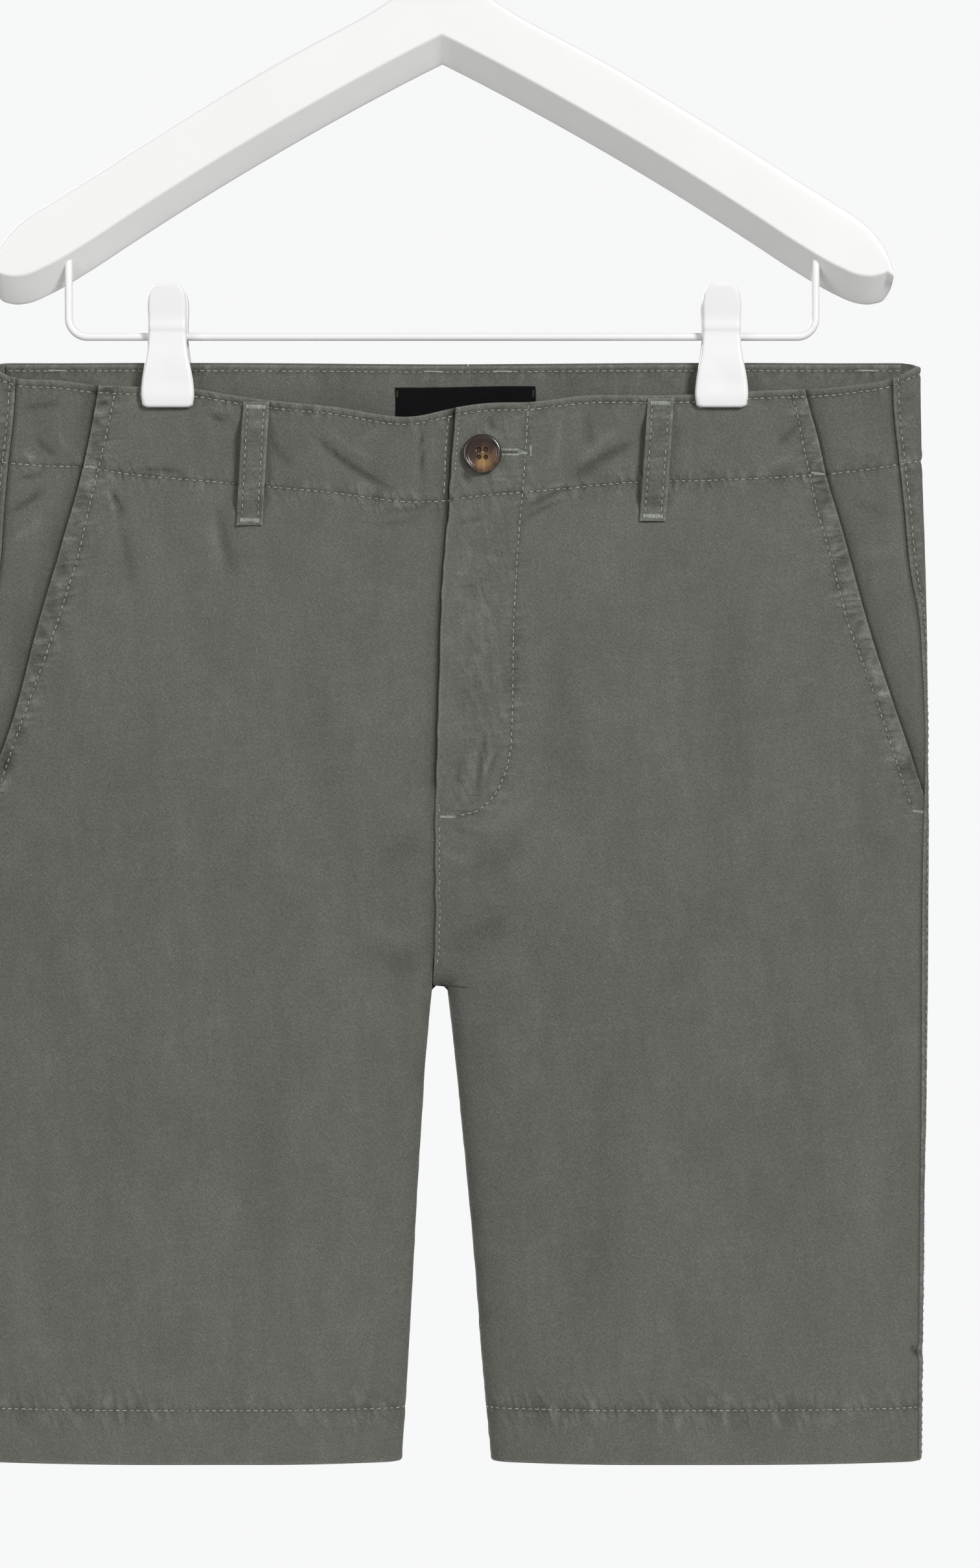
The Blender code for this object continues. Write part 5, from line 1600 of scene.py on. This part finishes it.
def button(horn, thread):
    """A dished four-hole button with a raised rim, sewn through its holes."""
    _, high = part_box("button")
    seat = high.y / MM
    profile = [
        (0.0, 0.0), (6.4, 0.0), (8.6, -0.5), (9.3, -1.4), (BUTTON_RADIUS, -2.1), (9.0, -2.9),
        (8.2, -3.2), (7.6, -3.0), (7.2, -2.5), (6.9, -2.35), (5.4, -2.2), (3.4, -2.05), (0.0, -2.0),
    ]
    inside = rounded_profile(profile[1:-1])
    made = revolved("button", [profile[0], *inside, profile[-1]], 72, horn)
    made.location = (BUTTON_X * MM, seat * MM, BUTTON_Z * MM)
    bpy.context.view_layer.update()
    cutters = []
    centres = [(dx * 1.65, dz * 1.85) for dx in (-1, 1) for dz in (-1, 1)]
    for k, (dx, dz) in enumerate(centres):
        hole = revolved(f"hole_{k}", [(0.0, -6.0), (1.1, -6.0), (1.1, 3.0), (0.0, 3.0)], 24, horn)
        hole.location = ((BUTTON_X + dx) * MM, seat * MM, (BUTTON_Z + dz) * MM)
        cut = made.modifiers.new(f"hole_{k}", "BOOLEAN")
        cut.operation = "DIFFERENCE"
        cut.object = hole
        cutters.append(hole)
    depsgraph = bpy.context.evaluated_depsgraph_get()
    baked = bpy.data.meshes.new_from_object(made.evaluated_get(depsgraph))
    made.modifiers.clear()
    made.data = baked
    for hole in cutters:
        bpy.data.objects.remove(hole)
    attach(made, "root")
    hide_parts("button")

    points = []
    faces = []
    for dx, dz in centres:
        first = len(points)
        for y in (0.6, -1.35):
            for k in range(12):
                angle = 2.0 * math.pi * k / 12
                points.append((dx + 0.84 * math.cos(angle), y, dz + 0.84 * math.sin(angle)))
        points.append((dx, -1.62, dz))
        for k in range(12):
            after = (k + 1) % 12
            faces.append([first + after, first + k, first + 12 + k, first + 12 + after])
            faces.append([first + 12 + after, first + 12 + k, first + 24])
        faces.append([first + k for k in range(12)])
    shank = mesh_object("button_thread", points, faces, thread)
    shank.location = made.location
    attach(shank, "root")


HOLE_START = 26.4
HOLE_END = 36.6
HOLE_Z = -322.0
HOLE_BAR = 42.6


def buttonhole(skin, thread):
    """Zigzag stitching round the slit, which runs out from under the button to a short bar."""
    sewn = Threads(skin, 151)
    for k, x in enumerate(np.arange(HOLE_START, HOLE_END, 0.62)):
        for up in (-1.0, 1.0):
            near = HOLE_Z + up * 0.55
            far = HOLE_Z + up * (1.85 + 0.12 * math.sin(2.1 * k))
            tip = sewn.dropped(x + 0.34, far)
            sewn.thread(sewn.dropped(x, near), tip, 0.24)
            sewn.thread(tip, sewn.dropped(x + 0.62, near), 0.22)
    for up in (-0.75, -0.3, 0.1, 0.55, 0.9):
        start = sewn.dropped(HOLE_END - 0.6, HOLE_Z + 1.3 * up)
        sewn.thread(start, sewn.dropped(HOLE_END + 4.6, HOLE_Z + 0.35 * up - 0.3), 0.2)
    sewn.tack((HOLE_BAR, HOLE_Z + 3.0), (HOLE_BAR + 0.2, HOLE_Z - 2.0), width=1.2, radius=0.18)
    return sewn.finished("stitching_buttonhole", thread)


def slit_shade(skin, dark):
    """Painted shade of the buttonhole's opening: a dark narrow leaf laid on the cloth."""
    points = []
    count = 24
    for k in range(count):
        share = k / (count - 1)
        x = HOLE_START - 1.0 + (HOLE_END - HOLE_START + 1.4) * share
        half = 0.28 * math.sin(math.pi * (0.06 + 0.9 * share)) ** 0.6
        for up in (-1.0, 0.0, 1.0):
            start = Vector((x, -40.0, HOLE_Z + up * half))
            found, _, _, _ = skin.ray_cast(start, Vector(STRAIGHT_IN))
            lift = 0.02 if up else 0.10
            points.append(np.array(found) - np.array((0.0, lift, 0.0)))
    faces = []
    for k in range(count - 1):
        for a in (3 * k, 3 * k + 1):
            faces.append([a, a + 3, a + 4, a + 1])
    made = mesh_object("buttonhole_slit_shade", points, faces, dark)
    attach(made, "root")
    return made


# ---------------------------------------------------------------- hanger
ARM = table(
    "x lower upper",
    (0.0, -132.6, -94.5), (8.0, -136.6, -95.6), (40.0, -153.4, -113.0), (80.0, -175.9, -134.5),
    (120.0, -200.0, -158.4), (150.0, -219.2, -177.0), (172.0, -233.6, -191.0),
    (190.0, -244.0, -202.2), (201.0, -248.4, -209.4), (209.0, -248.6, -217.2),
    (214.5, -246.0, -226.0), (217.2, -241.6, -233.6),
)
ARM_FRONT = -5.0
ARM_BACK = 11.0
UNDERSIDE_RISE = 12.0
NECK_RADIUS = 16.0

JAW = table(
    "z half_width inside outside",
    (-240.6, 3.2, 8.2, 10.6), (-241.8, 5.8, 7.9, 10.8), (-244.4, 8.0, 7.2, 10.5),
    (-249.0, 9.1, 6.2, 9.8), (-258.0, 9.1, 4.6, 8.4), (-262.6, 9.1, 4.1, 8.3),
    (-263.6, 9.1, 2.2, 8.0), (-267.6, 9.2, 2.2, 7.9), (-268.8, 9.3, 4.2, 7.9),
    (-276.0, 10.2, 4.9, 8.2), (-284.0, 11.8, 4.9, 8.2), (-288.0, 12.4, 3.7, 7.9),
    (-297.4, 12.3, 3.7, 7.2), (-299.3, 11.7, 3.7, 6.7), (-300.0, 10.4, 3.7, 6.2),
)


def rounded_ring(points):
    """A closed outline with its corners cut twice."""
    for _ in range(2):
        closed = zip(points, [*points[1:], points[0]])
        points = [place for pair in closed for place in corners_cut(*pair)]
    return points


def loft(name, rings, skin, node):
    """A closed body through rings of points, capped at both ends."""
    points = [point for ring in rings for point in ring]
    count = len(rings[0])
    faces = []
    for row in range(len(rings) - 1):
        for k in range(count):
            after = (k + 1) % count
            a = row * count
            b = a + count
            faces.append([a + k, a + after, b + after, b + k])
    faces.append(list(range(count))[::-1])
    faces.append([len(points) - count + k for k in range(count)])
    made = mesh_object(name, points, faces, skin, sharp=55.0)
    centre = np.mean(np.array(rings[len(rings) // 2]), axis=0)
    polygon = made.data.polygons[(len(rings) // 2) * count]
    if np.dot(np.array(polygon.normal), np.array(polygon.center) / MM - centre) < 0:
        made.data.flip_normals()
    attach(made, "root")
    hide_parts(node)


def arm_ring(x, lower, upper):
    """Cross section of an arm: flat face, sloped underside, eased corners."""
    height = upper - lower
    ease = min(3.4, 0.3 * height)
    slope = lower + min(UNDERSIDE_RISE, 0.55 * height)
    corners = (
        (ARM_FRONT, slope + 0.2), (ARM_FRONT, slope + 1.6), (ARM_FRONT, upper - ease),
        (ARM_FRONT + 0.5, upper - 0.15 * ease), (ARM_FRONT + 3.0, upper), (ARM_BACK - 3.0, upper),
        (ARM_BACK - 0.5, upper - 0.15 * ease), (ARM_BACK, upper - ease),
        (ARM_BACK, lower + 0.8 * ease), (ARM_BACK - 0.6, lower + 0.1), (ARM_BACK - 2.0, lower + 0.2),
        (ARM_FRONT + 1.6, slope - 1.2),
    )
    return [(x, y, z) for y, z in rounded_ring(corners)]


def hanger_arms(skin):
    """Both arms as one body, with stations closer together toward the tips."""
    reach = ARM[-1].x
    turn = np.linspace(-1.0, 1.0, 121)
    stations = reach * np.sin(0.45 * math.pi * turn) / math.sin(0.45 * math.pi)
    tip = reach - np.array([0.0, 0.25, 0.7, 1.4, 2.4, 3.8, 5.6, 8.0])
    stations = np.unique(np.round(np.concatenate([stations, tip, -tip]), 3))
    lower = curve(ARM, "x", "lower", np.abs(stations))
    upper = curve(ARM, "x", "upper", np.abs(stations))
    rings = [arm_ring(x, low, high) for x, low, high in zip(stations, lower, upper)]
    loft("hanger_arms", rings, skin, "hanger_arms")


def clip_jaw(name, x, face, skin):
    """One jaw of a clip: a thin neck that widens to a jaw with a shallow dish."""
    table_z = np.array([row.z for row in JAW])
    between = np.linspace(table_z.min(), table_z.max(), 70)
    rings = []
    for z in np.unique(np.concatenate([between, table_z]))[::-1]:
        half = float(curve(JAW, "z", "half_width", z))
        near = float(np.interp(z, table_z[::-1], [row.inside for row in JAW][::-1]))
        far = float(curve(JAW, "z", "outside", z))
        ring = []
        for across in np.linspace(-1.0, 1.0, 25):
            dish = 0.55 * bell(across, 0.5) * bell(z + 286.0, 7.0)
            out = far - 1.1 * rounded(1.0 - abs(across), 0.16) - dish
            ring.append((x + across * half, face * out, z))
        for across in np.linspace(1.0, -1.0, 9):
            ring.append((x + across * (half - 0.12), face * near, z))
        rings.append(ring)
    loft(name, rings, skin, name)


def arc(centre, radius, start, stop, steps):
    points = []
    for step in range(steps + 1):
        angle = math.radians(start + (stop - start) * step / steps)
        points.append((centre[0] + radius * math.cos(angle), centre[1] + radius * math.sin(angle)))
    return points


def wire(name, path, skin):
    """A round wire along a path of (x, z) points in the hanger's plane."""
    line = bpy.data.curves.new(name, "CURVE")
    line.dimensions = "3D"
    line.bevel_depth = WIRE_RADIUS * MM
    line.bevel_resolution = 6
    line.use_fill_caps = True
    spline = line.splines.new("POLY")
    spline.points.add(len(path) - 1)
    for point, (x, z) in zip(spline.points, path):
        point.co = (x * MM, 0.0, z * MM, 1.0)
    spline.use_smooth = True
    line.materials.append(skin)
    made = link(name, line)
    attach(made, "root")
    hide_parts(name)


def hanger_hook(skin):
    centre = (0.0, WIRE_RADIUS - HOOK_RADIUS)
    path = arc(centre, HOOK_RADIUS, 205.0, -48.0, 60)
    neck = arc((NECK_RADIUS, path[-1][1] - 23.5), NECK_RADIUS, 118.0, 180.0, 14)
    path += [*neck, (0.0, neck[-1][1] - 8.0), (0.0, -86.0), (0.0, -106.0)]
    wire("hanger_hook", path, skin)


def clip_bar(skin):
    """The wire under the arms, which bends up into them at both ends."""
    top = -224.5
    left = arc((-BAR_HALF + BAR_BEND, BAR_Z + BAR_BEND), BAR_BEND, 180.0, 270.0, 14)
    right = arc((BAR_HALF - BAR_BEND, BAR_Z + BAR_BEND), BAR_BEND, 270.0, 360.0, 14)
    wire("clip_bar", [(-BAR_HALF, top), *left, *right, (BAR_HALF, top)], skin)


# ---------------------------------------------------------------- camera, light and floor
FRAME_HEIGHT = 0.75625  # what the photograph's 2420 rows span at the shorts, in metres
CAMERA_AWAY = 1.9
CAMERA_AIM = Vector((0.0231, 0.0, -0.48125))
FLOOR_RADIUS = 640.0
FLOOR_Z = -1000.0
WORLD_SEEN = 0.94  # brightness of the pale world behind the object
WORLD_LIGHT = 0.26  # its brightness as a soft light from all round


def add_camera():
    lens = bpy.data.cameras.new("camera")
    lens.sensor_width = 36.0
    lens.lens = lens.sensor_width * CAMERA_AWAY / FRAME_HEIGHT
    lens.clip_start = 0.05
    lens.clip_end = 50.0
    camera = link("camera", lens)
    camera.location = CAMERA_AIM + Vector((0.0, -CAMERA_AWAY, 0.0))
    camera.rotation_euler = (0.5 * math.pi, 0.0, 0.0)
    bpy.context.scene.camera = camera


def add_area(name, place, size, power):
    light = bpy.data.lights.new(name, "AREA")
    light.shape = "SQUARE"
    light.size = size
    light.energy = power
    lamp = link(name, light)
    lamp.location = place
    lamp.rotation_euler = (CAMERA_AIM - Vector(place)).to_track_quat("-Z", "Y").to_euler()


def add_stage():
    """A pale floor below the hem, a pale world and soft lights from above."""
    world = bpy.data.worlds.new("world")
    world.use_nodes = True
    tree = world.node_tree
    seen = new_node(tree, "ShaderNodeLightPath").outputs["Is Camera Ray"]
    strength = summed(tree, ((seen, WORLD_SEEN - WORLD_LIGHT), (WORLD_LIGHT, 1.0)))
    background = tree.nodes["Background"]
    background.inputs["Color"].default_value = (0.99, 0.995, 1.0, 1.0)
    tree.links.new(strength, background.inputs["Strength"])
    bpy.context.scene.world = world
    bpy.context.scene.view_settings.view_transform = "Standard"
    bpy.context.scene.view_settings.look = "None"

    made, tree, shader = surface("floor", 0.9, Specular_IOR_Level=0.1)
    place = new_node(tree, "ShaderNodeTexCoord").outputs["Object"]
    value = summed(tree, ((noise(tree, place, 3.0, 2.0), 0.5), (0.5, 1.0)))
    stops = ((0.0, (0.66, 0.66, 0.655)), (1.0, (0.70, 0.70, 0.695)))
    tree.links.new(ramp(tree, value, stops), shader.inputs["Base Color"])
    ring = [2.0 * math.pi * k / 96 for k in range(96)]
    corners = [
        (CAMERA_AIM.x / MM + FLOOR_RADIUS * math.cos(turn), FLOOR_RADIUS * math.sin(turn), FLOOR_Z)
        for turn in ring
    ]
    mesh_object("floor", corners, [list(range(96))], made)

    add_area("key", (2.0, -3.1, 1.35), 1.0, 141.0)
    add_area("fill", (-1.3, -1.6, -0.1), 1.2, 13.3)
    add_area("rear", (-1.0, 1.3, 0.45), 0.7, 40.0)


# ---------------------------------------------------------------- all of it
add_camera()
add_stage()

CLOTH_TWILL = twill("cloth_twill")
LOOP_TWILL = twill("loop_twill", 1.03)
# a darker copy of the twill for the facing: painted shade inside the waist
FACING_SHADED_TWILL = twill("facing_twill", 0.97)
THREAD = thread_material()
BLACK_WEAVE = label_material()
HORN = horn_material()
BUTTON_THREAD = dark_thread()
ARM_WHITE = plastic("hanger_white", (0.80, 0.80, 0.79), 0.36)
WIRE_WHITE = plastic("wire_white", (0.82, 0.82, 0.81), 0.3)
CLIP_WHITE = plastic("clip_white", (0.80, 0.80, 0.795), 0.32)

for side, word in ((-1, "left"), (1, "right")):
    piece, stitches, front_skin = front(side, f"front_{word}", CLOTH_TWILL, THREAD)
    if side > 0:
        buttonhole(front_skin, THREAD)
        slit_shade(front_skin, BUTTON_THREAD)
    add_sheet(piece, f"front_{word}")

    piece, stitches = back(side, f"back_{word}", CLOTH_TWILL, THREAD)
    add_sheet(piece, f"back_{word}")

    piece, stitches = side_piece(side, f"side_piece_{word}", CLOTH_TWILL, THREAD)
    add_sheet(piece, f"side_piece_{word}")

piece, stitches = facing(FACING_SHADED_TWILL, THREAD)
add_sheet(piece, "back_facing")
piece, stitches = label(BLACK_WEAVE, BUTTON_THREAD)
add_sheet(piece, "label")

for name, face, *ends in LOOPS:
    piece, stitches = belt_loop(name, face, *ends, LOOP_TWILL, THREAD)
    add_sheet(piece, name)

button(HORN, BUTTON_THREAD)
hanger_arms(ARM_WHITE)
hanger_hook(WIRE_WHITE)
clip_bar(WIRE_WHITE)
for word, x in (("left", CLIP_LEFT), ("right", CLIP_RIGHT)):
    clip_jaw(f"clip_front_{word}", x, FRONT, CLIP_WHITE)
    clip_jaw(f"clip_back_{word}", x, BACK, CLIP_WHITE)
